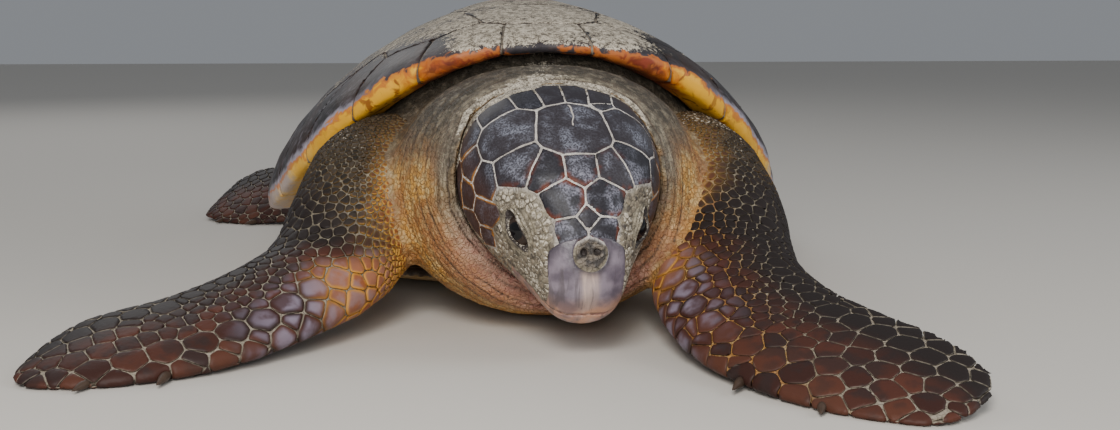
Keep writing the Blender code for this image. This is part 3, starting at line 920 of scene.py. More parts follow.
def rim_plan(angle, inset):
    """The rim in plan, as the bones have it. The angle is 0 at the front and turns to the left side."""
    ahead = math.cos(angle) > 0
    bend, length = (2 / 2.35, 0.42) if ahead else (2 / 1.8, 0.50)
    x = (shell_half.x - inset) * math.copysign(abs(math.sin(angle)) ** bend, math.sin(angle))
    y = -(length - inset) * math.copysign(abs(math.cos(angle)) ** bend, math.cos(angle))
    return Vector((x, y - 0.04, 0.0))


VERTEBRALS = ((0.155, 0.078), (0.335, 0.082), (0.525, 0.082), (0.715, 0.076), (0.875, 0.068))
COSTALS = (
    (0.135, 0.36, 0.058), (0.275, 0.54, 0.078), (0.475, 0.57, 0.086), (0.67, 0.51, 0.080),
    (0.83, 0.34, 0.062),
)
MARGINAL_INSET, MARGINAL_SIZE = 0.037, 0.047
scute_seeds = []
for share, size in VERTEBRALS:
    scute_seeds.append(Seed(*on_dome(share, 0.0), size, level=True, facing=0.1))
for share, across, size in COSTALS:
    for way in (-1, 1):
        scute_seeds.append(Seed(*on_dome(share, across * way), size, level=True, facing=0.1))
for number in range(-12, 13):
    plan = rim_plan(2 * math.pi * number / 25, MARGINAL_INSET)
    outward = Vector((plan.x, plan.y - shell_middle.y, 0.0))
    scute_seeds.append(Seed(under(plan.x, plan.y)[0], outward, MARGINAL_SIZE, level=True, facing=-0.45))
scutes = tiled(
    "scutes", dome_surface, scute_seeds, seam=0.0009, lip=0.0013, dome=0.0007, rolled=0.0018,
    reach=2.7, merge=0.02,
)
wavered(scutes, amount=0.0022, scale=17.0)

# The horn's finish: streaked red-brown to black, dull with sand. Along the rim it bleaches to a ragged band,
# dark red over the neck, then orange and yellow, and lilac at the flanks, with a painted pale lilac sheen
# inside it.
shell_finish, tree, shader = new_finish("shell_horn_weathered", 0.5, 0.03, 0.2)
streak = spots(tree, 26.0, 6.0, (1.0, 0.35, 1.0), 0.6)
fine = spots(tree, 160.0, 3.0)
side_place = stored(tree, "side")
ragged = spots(tree, 75.0, 5.0, warp=0.8) - 0.5
wavy_side = side_place + ((spots(tree, 24.0, 4.0) - 0.5) * 0.1 + ragged * 0.07)
band = stored(tree, "band") + ragged * 0.85 - ranged(side_place, 0.09, 0.17, 0.16, 0.0)
in_band = ranged(band, 0.46, 0.58)
rust = ranged(spots(tree, 58.0, 4.0, warp=0.6), 0.54, 0.62) * ranged(wavy_side, 0.26, 0.18, 0.15, 0.85)
flame = ranged(band, 0.42, 0.52) * ranged(band, 0.72, 0.58)
# Painted sheen: a pale lilac sheen just inside the rim's band, on the flanks.
painted_rim_sheen = ranged(band, -0.02, 0.46, 0.0, 0.85) * ranged(side_place, 0.17, 0.25, 0.1, 1.0)
rim_colour = layered(
    blended(ranged(ragged, -0.12, 0.1), (0.07, 0.014, 0.01), (0.22, 0.042, 0.02)),
    (ranged(wavy_side, 0.115, 0.15), (0.46, 0.12, 0.01)),
    (ranged(wavy_side, 0.14, 0.172), (0.74, 0.38, 0.022)),
    (ranged(wavy_side, 0.25, 0.32), (0.78, 0.52, 0.13)),
    (ranged(wavy_side, 0.285, 0.325, 0.0, 0.85), (0.44, 0.375, 0.4)),
    (rust, (0.2, 0.05, 0.014)),
)
horn_colour = layered(
    blended(ranged(streak, 0.38, 0.62), (0.02, 0.016, 0.016), (0.105, 0.045, 0.026)),
    (ranged(fine, 0.55, 0.7, 0.0, 0.5), (0.2, 0.11, 0.055)),
    (ranged(band, -2.6, -0.7, 0.0, 0.8), (0.014, 0.012, 0.013)),
    (painted_rim_sheen, (0.38, 0.355, 0.42)),
    (in_band, rim_colour),
    (flame * 0.75, (0.5, 0.15, 0.03)),
)
sand_amount = stored(tree, "drift") - in_band * ranged(side_place, 0.05, 0.16, 0.06, 0.5)
horn_colour, sand_share, grain = sanded(horn_colour, sand_amount)
put(shader.inputs["Base Color"], horn_colour)
put(shader.inputs["Roughness"], ranged(sand_share, 0.0, 1.0, 0.46, 0.9))
rings = (stored(tree, "edge") * 46.0).waves() * ranged(band, -0.9, 0.0, 0.25, 0.0)
bumped(shader, rings + fine * 0.7 + sand_share * grain, 0.0012, 0.7)

RIM_STEPS, RIM_HEIGHT, RIM_FRONT, RIM_REAR = 400, 0.088, 0.300, 0.074
lip_places = []
for number in range(RIM_STEPS):
    angle = 2 * math.pi * number / RIM_STEPS
    end = RIM_FRONT if math.cos(angle) > 0 else RIM_REAR
    lip_place = rim_plan(angle, 0.0)
    lip_place.z = RIM_HEIGHT + (end - RIM_HEIGHT) * math.cos(angle) ** 2 - 0.009
    lip_places.append(lip_place)
places = coordinates(scutes.data)
normals = normals_of(scutes.data)
aside, ahead, up = in_body(places)
rim_gap = gaps(search_tree(lip_places), places)
under_rim = (normals[:, 2] < -0.35) & (rim_gap < 0.05) & (up < 0.29)
band_width = 0.034 - 0.007 * bump(aside, 0.17, 0.22) - 0.007 * bump(aside, 0.24, 0.33)
bare = bump(-up, -0.27, -0.16)
bare_edge = (1 - bump(rim_gap, 0.06, 0.14)) * bump(aside, 0.085, 0.15)
give_values(
    scutes.data, side=aside, band=np.maximum(1 - rim_gap / band_width, under_rim * 0.8),
    drift=0.15 - 0.40 * bare + 0.12 * bump(ahead, 0.2, 0.45) - 0.42 * bare_edge,
)
scutes.data.materials.append(shell_finish)

# The bone under the scutes shows only in their seams.
bone = linked("shell_bone", dome_surface["bm"].copy())
put_coordinates(bone.data, coordinates(bone.data) - normals_of(bone.data) * BONE_DEPTH)
bone_finish, tree, shader = new_finish("shell_seams", 0.85)
seam_colour = blended(ranged(spots(tree, 90.0, 4.0), 0.4, 0.6), (0.1, 0.075, 0.055), (0.24, 0.2, 0.15))
put(shader.inputs["Base Color"], seam_colour)
bumped(shader, spots(tree, 300.0, 3.0), 0.0006)
bone.data.materials.append(bone_finish)
for piece in (scutes, bone):
    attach(piece, "root")
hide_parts("carapace")

# ---------------------------------------------------------------- plastron
# The lower shell: six pairs of broad cream-yellow plates that meet at the middle line, and four smaller
# ones on each bridge to the upper shell. The turtle rests on its flat middle.

PLASTRON_BED_DEPTH = 0.0013
plastron_surface = surface_of("plastron_surface", ("plastron",), voxel=0.0062, rounds=6)
plastron_low, plastron_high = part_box("plastron")
PLASTRON_PAIRS = (
    (0.075, 0.16, 0.05), (0.215, 0.24, 0.06), (0.375, 0.27, 0.062), (0.535, 0.27, 0.062), (0.705, 0.25, 0.06),
    (0.88, 0.16, 0.055), (0.315, 0.76, 0.05), (0.43, 0.80, 0.05), (0.55, 0.80, 0.05), (0.67, 0.74, 0.05),
)
plastron_seeds = []
for share, across, size in PLASTRON_PAIRS:
    for way in (-1, 1):
        x = across * way * plastron_high.x
        y = plastron_low.y + share * (plastron_high.y - plastron_low.y)
        place = plastron_tree.ray_cast(Vector((x, y, -1.0)), Vector((0, 0, 1)))[0]
        if place:
            plastron_seeds.append(Seed(place, (0, 0, -1), size, level=True, facing=0.12))
plastron_plates = tiled(
    "plastron_plates", plastron_surface, plastron_seeds, seam=0.002, lip=0.0012, dome=0.0004, rolled=0.003,
    reach=2.6, merge=0.02,
)


def pressed_flat(piece):
    """Flattens on the floor what would reach under it, and returns the places."""
    places = coordinates(piece.data)
    places[:, 2] = places[:, 2].clip(0.0)
    put_coordinates(piece.data, places)
    return places


pressed_flat(plastron_plates)
plastron_bed = linked("plastron_bed", plastron_surface["bm"].copy())
inwards = -normals_of(plastron_bed.data)
put_coordinates(plastron_bed.data, coordinates(plastron_bed.data) + inwards * PLASTRON_BED_DEPTH)
cream, tree, shader = new_finish("plastron_cream", 0.45, 0.1)
cream_colour = layered(
    blended(ranged(spots(tree, 24.0, 5.0, warp=0.5), 0.4, 0.62), (0.66, 0.5, 0.24), (0.48, 0.3, 0.12)),
    (ranged(stored(tree, "edge"), 0.0, 0.12, 0.6, 0.0), (0.3, 0.19, 0.09)),
    (ranged(spots(tree, 140.0, 3.0), 0.55, 0.7, 0.0, 0.4), (0.4, 0.34, 0.25)),
)
put(shader.inputs["Base Color"], cream_colour)
bumped(shader, spots(tree, 110.0, 4.0), 0.0008, 0.6)
plastron_plates.data.materials.append(cream)
plastron_bed.data.materials.append(bone_finish)
for piece in (plastron_plates, plastron_bed):
    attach(piece, "root")
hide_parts("plastron")

# ---------------------------------------------------------------- head plates
# The skull is roofed with large smooth plates of dark horn: a broad one in the middle with a crack down its
# rear half, pairs round it, smaller pairs down the snout and rows on the cheeks, with pale seams between.

head_surface = surface_of("head_surface", HEAD_FLESH, voxel=0.0025, rounds=14)

# Each plate: its place along the skull, its turn from the top in degrees, and its rough radius.
MIDDLE_PLATES = ((0.113, 0, 0.036), (0.164, 0, 0.020), (0.207, 3, 0.0105), (0.066, 29, 0.006))
PAIRED_PLATES = (
    (0.050, 9, 0.0150), (0.054, 27, 0.0150), (0.100, 44, 0.032), (0.062, 47, 0.022),
    (0.070, 68, 0.020), (0.143, 45, 0.024), (0.163, 25, 0.020), (0.190, 19, 0.021), (0.217, 24, 0.0135),
    (0.132, 69, 0.016), (0.100, 73, 0.017), (0.113, 89, 0.016), (0.146, 88, 0.014), (0.086, 94, 0.018),
    (0.128, 104, 0.014), (0.155, 104, 0.011),
)
# Where the plates end, guards stand in for the neighbours that they would have.
HEAD_GUARDS = (
    (0.012, 5, 0.016), (0.022, 28, 0.016), (0.029, 50, 0.018), (0.033, 72, 0.018), (0.050, 92, 0.018),
    (0.075, 115, 0.018), (0.105, 118, 0.014), (0.130, 122, 0.014), (0.165, 120, 0.014), (0.168, 62, 0.014),
    (0.190, 52, 0.012), (0.205, 55, 0.012), (0.178, 80, 0.016), (0.200, 70, 0.016), (0.215, 60, 0.012),
    (0.236, 0, 0.013), (0.232, 30, 0.010), (0.238, 60, 0.014), (0.175, 100, 0.014),
)
plate_seeds = []
for plates, ways, guard in (
    (MIDDLE_PLATES, (1,), False), (PAIRED_PLATES, (-1, 1), False), (HEAD_GUARDS, (-1, 1), True),
):
    for along, turn, size in plates:
        for way in ways:
            plate_seeds.append(Seed(*on_head(along, turn * way), size, guard=guard, facing=0.2))


def head_unwrap(place):
    """The head's own unwrap: the turn round the skull across, and the length along it upwards."""
    spot = into_head @ place
    turn = math.atan2(spot.x, spot.z) / (2 * math.pi)
    return 0.5 + turn * 0.9, min(max(0.1 + spot.y * 2.8, 0.03), 0.97)


head_plates = tiled(
    "head_plates", head_surface, plate_seeds, seam=0.0004, lip=0.0008, dome=0.0005, rolled=0.0009,
    sink=0.0009, reach=1.9, unwrap=head_unwrap, patch=0.03, merge=0.035,
)
wavered(head_plates, amount=0.0020, scale=42.0)
plate_tree = search_tree(coordinates(head_plates.data))
places = coordinates(head_hide.data)
from_plate = gaps(plate_tree, places)
beside_plate = 1 - bump(from_plate, 0.0020, 0.0040)
from_eye = away_from(places, *eye_middles.values())
give_values(head_hide.data, roof=beside_plate * bump(from_eye, 0.036, 0.052))
face_part = bump(from_plate, 0.0025, 0.0050) * (1 - round_eye) * (1 - pad) * bump(skull_along, 0.05, 0.08)
raised = normals_of(head_hide.data) * (0.0005 * face_part + 0.00015 * beside_plate)[:, None]
put_coordinates(head_hide.data, places + raised)


def tube(name, rings):
    """A closed tube through the rings of places, drawn out from the first to the last."""
    bm = bmesh.new()
    end = bm.faces.new([bm.verts.new(place) for place in rings[0]])
    for ring in rings[1:]:
        end = bmesh.ops.extrude_discrete_faces(bm, faces=[end])["faces"][0]
        for vert, place in zip(end.verts, ring):
            vert.co = place
    bmesh.ops.holes_fill(bm, edges=[edge for edge in bm.edges if edge.is_boundary], sides=0)
    bmesh.ops.recalc_face_normals(bm, faces=bm.faces)
    return linked(name, bm)


# The crack in the broad plate: a fine pale ridge that wavers from its rear edge to its middle.
plate_shell = BVHTree.FromPolygons(
    [vert.co.copy() for vert in head_plates.data.vertices],
    [face.vertices[:] for face in head_plates.data.polygons],
)
CRACK_STEPS = 19
CRACK_CORNERS = ((0.00025, -1), (0.00025, 1), (-0.0009, 1), (-0.0009, -1))
rings = []
for step in range(CRACK_STEPS):
    share = step / (CRACK_STEPS - 1)
    turn = math.radians(0.8 + 1.1 * math.sin(share * 4.2) + 0.35 * math.sin(share * 13.0))
    ray = head_left * math.sin(turn) + head_up * math.cos(turn)
    start = head_root + head_ahead * (0.0765 + 0.034 * share)
    place, outward, _, _ = plate_shell.ray_cast(start + ray * 0.3, -ray)
    half = 0.0010 - 0.0005 * share + 0.0004 * (step == CRACK_STEPS - 2)
    rings.append([place + outward * up + head_left * half * way for up, way in CRACK_CORNERS])
crack = tube("head_crack", rings)
crack_finish, tree, shader = new_finish("crack_seam", 0.7)
put(shader.inputs["Base Color"], blended(spots(tree, 200.0, 3.0), (0.58, 0.54, 0.5), (0.36, 0.32, 0.29)))
crack.data.materials.append(crack_finish)
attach(crack, "root")

# The head's hide and the body's are one skin, joined where they cross, deep in the neck's first crease.
kept_places = np.concatenate([coordinates(hide.data), coordinates(head_hide.data)])
kept_values = {
    name: [] for name in (
        "ochre", "pink", "fold", "heap", "dusk", "blade", "lid", "eye_sand", "skull", "nose", "roof",
    )
}
for piece in (hide, head_hide):
    for name, numbers in kept_values.items():
        values = np.zeros(len(piece.data.vertices), np.float32)
        if name in piece.data.attributes:
            piece.data.attributes[name].data.foreach_get("value", values)
            piece.data.attributes.remove(piece.data.attributes[name])
        numbers.append(values)
SCRAP = 40
crossing = hide.modifiers.new("one_skin", "BOOLEAN")
crossing.operation = "UNION"
crossing.solver = "MANIFOLD"
crossing.object = head_hide
as_modified(hide)
kept_tree = search_tree(kept_places)
bm = bmesh.new()
bm.from_mesh(hide.data)
scraps = [vert for vert in bm.verts if len(hanging_together(vert, verts_beside, SCRAP)) < SCRAP]
bmesh.ops.delete(bm, geom=scraps, context="VERTS")
bm.to_mesh(hide.data)
bm.free()
same = np.array([kept_tree.find(vert.co)[1] for vert in hide.data.vertices])
give_values(hide.data, **{name: np.concatenate(numbers)[same] for name, numbers in kept_values.items()})
hide.name = hide.data.name = "skin"
bpy.data.objects.remove(head_hide)
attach(hide, "root")
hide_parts(*BODY_FLESH, "head", "lower_jaw")

slate, tree, shader = new_finish("head_horn", 0.5, 0.05, 0.24)
speck = spots(tree, 520.0, 4.0)
bloom = spots(tree, 48.0, 6.0, warp=0.5)
tone, edge, snout, cheek = (stored(tree, name) for name in ("tone", "edge", "snout", "cheek"))
heart = ranged(edge, 0.0, 0.3, 0.15, 1.0)
# Painted sheen: a pale blue-grey haze in the plates' middles, weaker on the rear plates, and rougher where it
# lies.
painted_plate_sheen = ranged(bloom, 0.4, 0.68, 0.1, 1.0) * heart * ranged(tone, 0.0, 1.0, 0.55, 1.0)
painted_plate_sheen = painted_plate_sheen * ranged(stored(tree, "behind"), 0.0, 1.0, 1.0, 0.3)
reddish = ranged(edge, 0.05, 0.34, 1.0, 0.0) * snout * ranged(spots(tree, 52.0, 3.0), 0.47, 0.6)
orange = cheek * ranged(edge, 0.04, 0.22, 1.0, 0.0) * ranged(bloom, 0.42, 0.55, 0.25, 0.95)
plate_colour = layered(
    blended(tone, (0.013, 0.012, 0.016), (0.03, 0.025, 0.029)),
    (painted_plate_sheen * 0.22, (0.11, 0.12, 0.16)),
    (painted_plate_sheen * ranged(speck, 0.4, 0.62) * 0.55, (0.3, 0.32, 0.39)),
    # Painted highlight: a speckled lilac-white haze on the snout plates.
    (snout * ranged(bloom, 0.46, 0.64, 0.0, 0.45) * ranged(speck, 0.38, 0.6, 0.15, 1.0), (0.36, 0.35, 0.43)),
    (reddish, (0.12, 0.028, 0.012)),
    (cheek * 0.6, (0.065, 0.028, 0.02)),
    (orange, (0.38, 0.16, 0.025)),
)
plate_colour, _, _ = sanded(plate_colour, stored(tree, "eye_sand") * 0.62 - 0.4)
put(shader.inputs["Base Color"], plate_colour)
put(shader.inputs["Roughness"], ranged(painted_plate_sheen, 0.0, 0.8, 0.48, 0.7))
bumped(shader, speck + bloom * 0.6, 0.0005, 0.6)
head_plates.data.materials.append(slate)
places = coordinates(head_plates.data)
_, along, _, turn = in_head(places)
from_eye = away_from(places, *eye_middles.values())
give_values(
    head_plates.data, snout=bump(along, 0.13, 0.18), behind=1 - bump(along, 0.055, 0.085),
    cheek=bump(turn, 1.05, 1.35), eye_sand=1 - bump(from_eye, 0.024, 0.044),
)
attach(head_plates, "root")

# ---------------------------------------------------------------- limb scales
# Each limb is sheathed in scales: a row of broad plates round the leading edge, a second row inside it,
# narrow ones along the trailing edge, small ones between, and a fine pavement up the arm.


SEED_SHARE, PUFF, SETTLINGS = 0.58, 0.012, 2


def scattered(surface, wanted, spacing, fixed, chance):
    """Seeds spread over the wanted faces at the spacing that each face asks for, clear of the fixed ones.
    The places are puffed outwards meanwhile, which keeps a thin limb's two sides apart."""
    cell = float(spacing[wanted].max())
    puffed = surface["middles"] + surface["outward"] * PUFF
    held = [np.array(place) + np.array(outward) * PUFF for place, outward, _ in fixed]
    grid = {}
    places = []

    def crowded(place, gap):
        i, j, k = (place // cell).astype(int)
        for key in itertools.product((i - 1, i, i + 1), (j - 1, j, j + 1), (k - 1, k, k + 1)):
            for other, other_gap in grid.get(key, ()):
                away = place - other
                if away @ away < (0.43 * (gap + other_gap)) ** 2:
                    return True
        return False

    def add(place, gap):
        grid.setdefault(tuple((place // cell).astype(int)), []).append((place, gap))

    for place, (_, _, gap) in zip(held, fixed):
        add(place, gap)
    order = np.flatnonzero(wanted)
    chance.shuffle(order)
    for index in order:
        place, gap = puffed[index], spacing[index]
        if not crowded(place, gap):
            add(place, gap)
            places.append(place)
    face_tree = search_tree(puffed)
    allowed = puffed[wanted]
    for _ in range(SETTLINGS):
        tree = search_tree(places + held)
        owner = np.array([tree.find(place)[1] for place in allowed])
        count = np.bincount(owner, minlength=len(places))[: len(places)]
        sums = [np.bincount(owner, allowed[:, axis], len(places))[: len(places)] for axis in range(3)]
        settled = np.stack(sums, axis=1) / count.clip(1)[:, None]
        places = [
            puffed[face_tree.find(new)[1]] if many else old for old, new, many in zip(places, settled, count)
        ]
    faces = [face_tree.find(place)[1] for place in places]
    return [(surface["middles"][face], surface["outward"][face], spacing[face]) for face in faces]


def limb_axes(node):
    """A limb's places, their middle, and its length, width and thickness as directions."""
    shape = coordinates(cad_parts[node].data)
    centre = shape.mean(axis=0)
    return shape, centre, np.linalg.svd(shape - centre, full_matrices=False)[2]


def limb_measure(node, middles):
    """For each place, its share of the way out along the limb, and across it: 1 at the leading edge.
    Then the limb's length, its half width at each place, and the direction of its upper side."""
    shape, centre, (long, wide, thick) = limb_axes(node)
    long = long * np.sign(long @ (centre - np.array(shell_middle)))
    wide = wide * -np.sign(wide[1])
    thick = thick * np.sign(thick[2])
    reach, side = (shape - centre) @ long, (shape - centre) @ wide
    low, high = reach.min(), reach.max()
    length = high - low
    bins = np.linspace(low, high, 17)
    edges = []
    for start, end in zip(bins[:-1], bins[1:]):
        here = (reach >= start - length / 20) & (reach <= end + length / 20)
        edges.append((side[here].min(), side[here].max()))
    along, off = (middles - centre) @ long, (middles - centre) @ wide
    trail, lead = (np.interp(along, (bins[:-1] + bins[1:]) / 2, edge) for edge in np.array(edges).T)
    return (along - low) / length, 2 * (off - trail) / (lead - trail) - 1, length, (lead - trail) / 2, thick


def row_along(surface, measure, across, step, start, end, gap, up=None):
    """A row of seeds along the limb, at that share across it."""
    along, over, length, half, thick = measure
    facing = surface["outward"] @ thick
    row = []
    for number in range(int((end - start) * length / step) + 1):
        share = start + number * step / length
        miss = ((along - share) * length) ** 2 + ((over - across) * half) ** 2
        if up is not None:
            miss = miss + (facing * up < 0.2) * 1.0
        index = int(miss.argmin())
        row.append((surface["middles"][index], surface["outward"][index], gap))
    return row


def limb_unwrap(node):
    """A limb's own unwrap: the turn round its length across, and the share of the way along it upwards."""
    shape, centre, (long, wide, thick) = limb_axes(node)
    low, high = ((shape - centre) @ long).min(), ((shape - centre) @ long).max()

    def unwrap(place):
        spoke = np.array(place) - centre
        turn = math.atan2(spoke @ thick, spoke @ wide) / (2 * math.pi)
        return 0.5 + turn * 0.94, min(max(0.1 + 0.8 * (spoke @ long - low) / (high - low), 0.01), 0.99)

    return unwrap


def coated(name, surface, seeds, *sizes):
    """A coat of scales over the limb of that name, in front of the hide."""
    unwrap = limb_unwrap(name.replace("scales_", ""))
    return tiled(name, surface, seeds, *sizes, sink=0.0005, reach=1.75, unwrap=unwrap, merge=0.12)


# Each row: its share across the limb, where along it starts and ends, step, size, and the sides it is on.
EDGE_ROWS = (
    (1.0, 0.05, 0.97, 1.0, 1.0, (None,)), (0.62, 0.08, 0.94, 1.0, 0.92, (-1, 1)),
    (-1.0, 0.12, 0.50, 0.6, 0.62, (None,)), (-1.0, 0.54, 0.95, 0.9, 0.9, (None,)),
    (-0.60, 0.30, 0.50, 0.55, 0.64, (-1, 1)), (-0.52, 0.55, 0.93, 0.85, 0.85, (-1, 1)),
)
FRONT_ROW, REAR_ROW, ARM_SCALE, FINE_SCALE = 0.033, 0.021, 0.0068, 0.0078
# The seam, lip, dome and rolled border of the scales on each part of a limb.
COAT_SIZES = {
    "upper_arm_": (0.0006, 0.0006, 0.0004, 0.0007), "front_flipper_": (0.0003, 0.0006, 0.0004, 0.0006),
    "rear_flipper_": (0.0003, 0.0007, 0.0004, 0.0008),
}
limb_coats = []
for side in SIDES:
    for limb, arm in (("front_flipper_", "upper_arm_"), ("rear_flipper_", None)):
        nodes = (limb + side,) + ((arm + side,) if arm else ())
        surface = surface_of("limb_surface", nodes, voxel=0.0030, rounds=8)
        measure = limb_measure(limb + side, surface["middles"])
        along, across = measure[:2]
        if arm:
            trailing = bump(-across, 0.2, 0.8) * bump(along, 0.2, 0.5)
            base = 0.0125 + 0.0120 * bump(across, 0.0, 0.8) + 0.011 * bump(along, 0.48, 0.78)
            base = base + 0.005 * trailing
            in_arm = 1 - bump(along, -0.15, 0.03)
            row_size, spacing = FRONT_ROW, base * (1 - in_arm) + ARM_SCALE * in_arm
        else:
            row_size, spacing = REAR_ROW, 0.0125 + 0.004 * bump(along, 0.1, 0.9)
        rows = []
        for share, start, end, step, size, ways in EDGE_ROWS:
            for way in ways:
                rows += row_along(surface, measure, share, row_size * step, start, end, row_size * size, way)
        wanted = np.ones(len(along), bool)
        loose = scattered(surface, wanted, spacing, rows, np.random.default_rng(11))
        seeds = [Seed(place, out, gap * SEED_SHARE, facing=-0.35) for place, out, gap in rows + loose]
        fine = [bool(arm) and seed.size < FINE_SCALE for seed in seeds]
        for part in (arm, limb) if arm else (limb,):
            for seed, is_fine in zip(seeds, fine):
                seed.guard = is_fine != (part == arm)
            coat = coated("scales_" + part + side, surface, seeds, *COAT_SIZES[part])
            limb_coats.append((coat, limb + side))

# Their finish: dark red-brown with a painted lilac-grey sheen on the leading side of the flipper, pale in the
# seams, with orange scales at the elbow and amber ones under the arm.
scale_finish, tree, shader = new_finish("limb_scales", 0.5, 0.0, 0.17)
speck = spots(tree, 240.0, 3.0)
blotch = spots(tree, 40.0, 3.0)
tone, edge, lead, out, ochre = (stored(tree, name) for name in ("tone", "edge", "lead", "out", "ochre"))
# Painted sheen: lilac-grey in the middles of the leading side's plates, towards the elbow.
sheen = ranged(lead, 0.0, 0.7) * ranged(edge, 0.08, 0.45) * ranged(out, 0.52, 0.28)
sheen = sheen * ranged(blotch, 0.36, 0.56, 0.2, 0.85)
amber = blended(ranged(edge, 0.05, 0.5), (0.62, 0.34, 0.06), (0.27, 0.085, 0.028))
arm_colour = blended(ochre, blended(tone, (0.018, 0.015, 0.012), (0.055, 0.042, 0.03)), amber)
elbow = blended(tone, (0.34, 0.155, 0.095), (0.27, 0.085, 0.03))
elbow = blended(ranged(blotch, 0.44, 0.62, 0.0, 0.6), elbow, (0.3, 0.21, 0.22))
elbow = blended(ranged(edge, 0.0, 0.3), (0.56, 0.26, 0.04), elbow)
elbow_share = ranged(out, -0.22, -0.02) * ranged(out, 0.24, 0.06) * ranged(lead, 0.0, 0.6)
pale = ranged(edge, 0.0, 0.06, 0.9, 0.0) * ranged(speck, 0.38, 0.55, 0.45, 1.0)
pale = pale * (1.0 - elbow_share * 0.8) * (1.0 - ochre * 0.9)
core = layered(
    blended(tone, (0.034, 0.014, 0.011), (0.082, 0.028, 0.018)),
    (ranged(blotch, 0.46, 0.62, 0.0, 0.7), (0.026, 0.018, 0.017)),
    (ranged(tone * lead, 0.25, 0.8, 0.0, 0.6), (0.088, 0.034, 0.02)),
    (sheen, (0.235, 0.195, 0.255)),
    (ranged(lead, 0.15, -0.5), (0.019, 0.014, 0.013)),
    (ranged(out, 0.02, -0.14), arm_colour),
    (elbow_share, elbow),
    (pale, (0.36, 0.32, 0.25)),
)
core, sand_share, _ = sanded(core, ranged(out, 0.1, -0.15, -0.34, -0.05) - ochre * 0.25)
put(shader.inputs["Base Color"], core)
gloss = ranged(out, 0.05, -0.12, 0.52, 0.68)
put(shader.inputs["Roughness"], gloss.at_least(sand_share * 0.9))
bumped(shader, speck + blotch * 0.5, 0.0006, 0.6)
for coat, limb in limb_coats:
    places = pressed_flat(coat)
    out, lead = limb_measure(limb, places)[:2]
    aside, _, up = in_body(places)
    drift = 0.02 * turbulence(places, 30.0, 6.0)
    low_side = bump(-normals_of(coat.data)[:, 2] + 0.25 * turbulence(places, 9.0, 1.0), -0.30, 0.22)
    low_side *= 1 - 0.85 * bump(up + drift, 0.11, 0.18)
    near_body = (1 - bump(aside + drift, 0.155, 0.215)) * bump(-up, -0.235, -0.14)
    give_values(coat.data, out=out, lead=lead, ochre=np.clip(low_side * 0.85 + 0.9 * near_body, 0, 1))
    coat.data.materials.append(scale_finish)
    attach(coat, "root")

# The face between the roof plates, the eyes and the jaws is paved with small dull scales, dusted with sand.
FACE_SCALE, FACE_GUARD = 0.0066, 0.0025
face_middles = head_surface["middles"]
left, along, _, turn = in_head(face_middles)
from_plates = gaps(plate_tree, face_middles)
off_eyes = away_from(face_middles, *eye_middles.values())
off_nose = away_from(face_middles, nose) > 0.0165
on_lower_jaw = nearest_owner(face_middles, HEAD_FLESH) == "lower_jaw"
beak_half = 0.039 - 0.25 * np.clip(along - 0.235, 0, 0.04)
on_beak = (along > 0.222) & ~on_lower_jaw & off_nose & (np.abs(left) < beak_half)
on_jaw = (along > 0.185) & on_lower_jaw
bare = (from_plates > 0.0045) & (off_eyes > 0.0275) & off_nose & ~on_beak & ~on_jaw & (along > 0.03)
bare &= (np.degrees(turn) < 125) | (along > 0.15)
face_spacing = np.full(len(face_middles), FACE_SCALE)
loose = scattered(head_surface, bare, face_spacing, [], np.random.default_rng(5))
face_seeds = [Seed(place, out, gap * SEED_SHARE) for place, out, gap in loose]
bounding = (from_plates < 0.02) | (off_eyes < 0.04) | (along > 0.16)
for index in np.flatnonzero(~bare)[::9]:
    if bounding[index]:
        face_seeds.append(Seed(face_middles[index], head_surface["outward"][index], FACE_GUARD, guard=True))
face_scales = tiled(
    "scales_face", head_surface, face_seeds, seam=0.0001, lip=0.0003, dome=0.0002, rolled=0.0005,
    sink=0.0013, unwrap=head_unwrap, merge=0.12,
)
face_finish, tree, shader = new_finish("face_scales", 0.6)
speck = spots(tree, 190.0, 3.0)
face_colour = layered(
    blended(stored(tree, "tone"), (0.055, 0.045, 0.036), (0.2, 0.165, 0.115)),
    (ranged(speck, 0.42, 0.6, 0.0, 0.6), (0.3, 0.25, 0.18)),
)
clumped = ranged(spots(tree, 30.0, 3.0), 0.36, 0.58, -0.05, 0.62)
face_colour, _, grain = sanded(face_colour, clumped)
put(shader.inputs["Base Color"], face_colour)
bumped(shader, speck + grain, 0.0006, 0.6)
face_scales.data.materials.append(face_finish)
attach(face_scales, "root")

# ---------------------------------------------------------------- beak, eyes and claws
# A horny sheath over the jaws, pale lilac with a cream middle, an eyeball behind each pair of lids, and two
# blunt claws on each flipper's leading edge.


def sheathed(name, wanted, lip, rolled):
    """One horny sheath cut from the head's surface, rolled down at its border and closed underneath."""
    cell, (edge,) = cut_out(head_surface, np.flatnonzero(wanted), "edge")
    middle = Vector(head_surface["middles"][wanted].mean(axis=0))
    keep_main_part(cell, middle)
    round_off([vert for vert in cell.verts if vert.is_boundary], 12)
    bmesh.ops.inset_region(cell, faces=cell.faces[:], thickness=rolled, use_boundary=True)
    cell.normal_update()
    for vert in cell.verts:
        vert[edge] = 0.0 if vert.is_boundary else 1.0
        if vert.is_boundary:
            vert.co -= vert.normal * lip
    close_under(cell)
    return linked(name, cell)


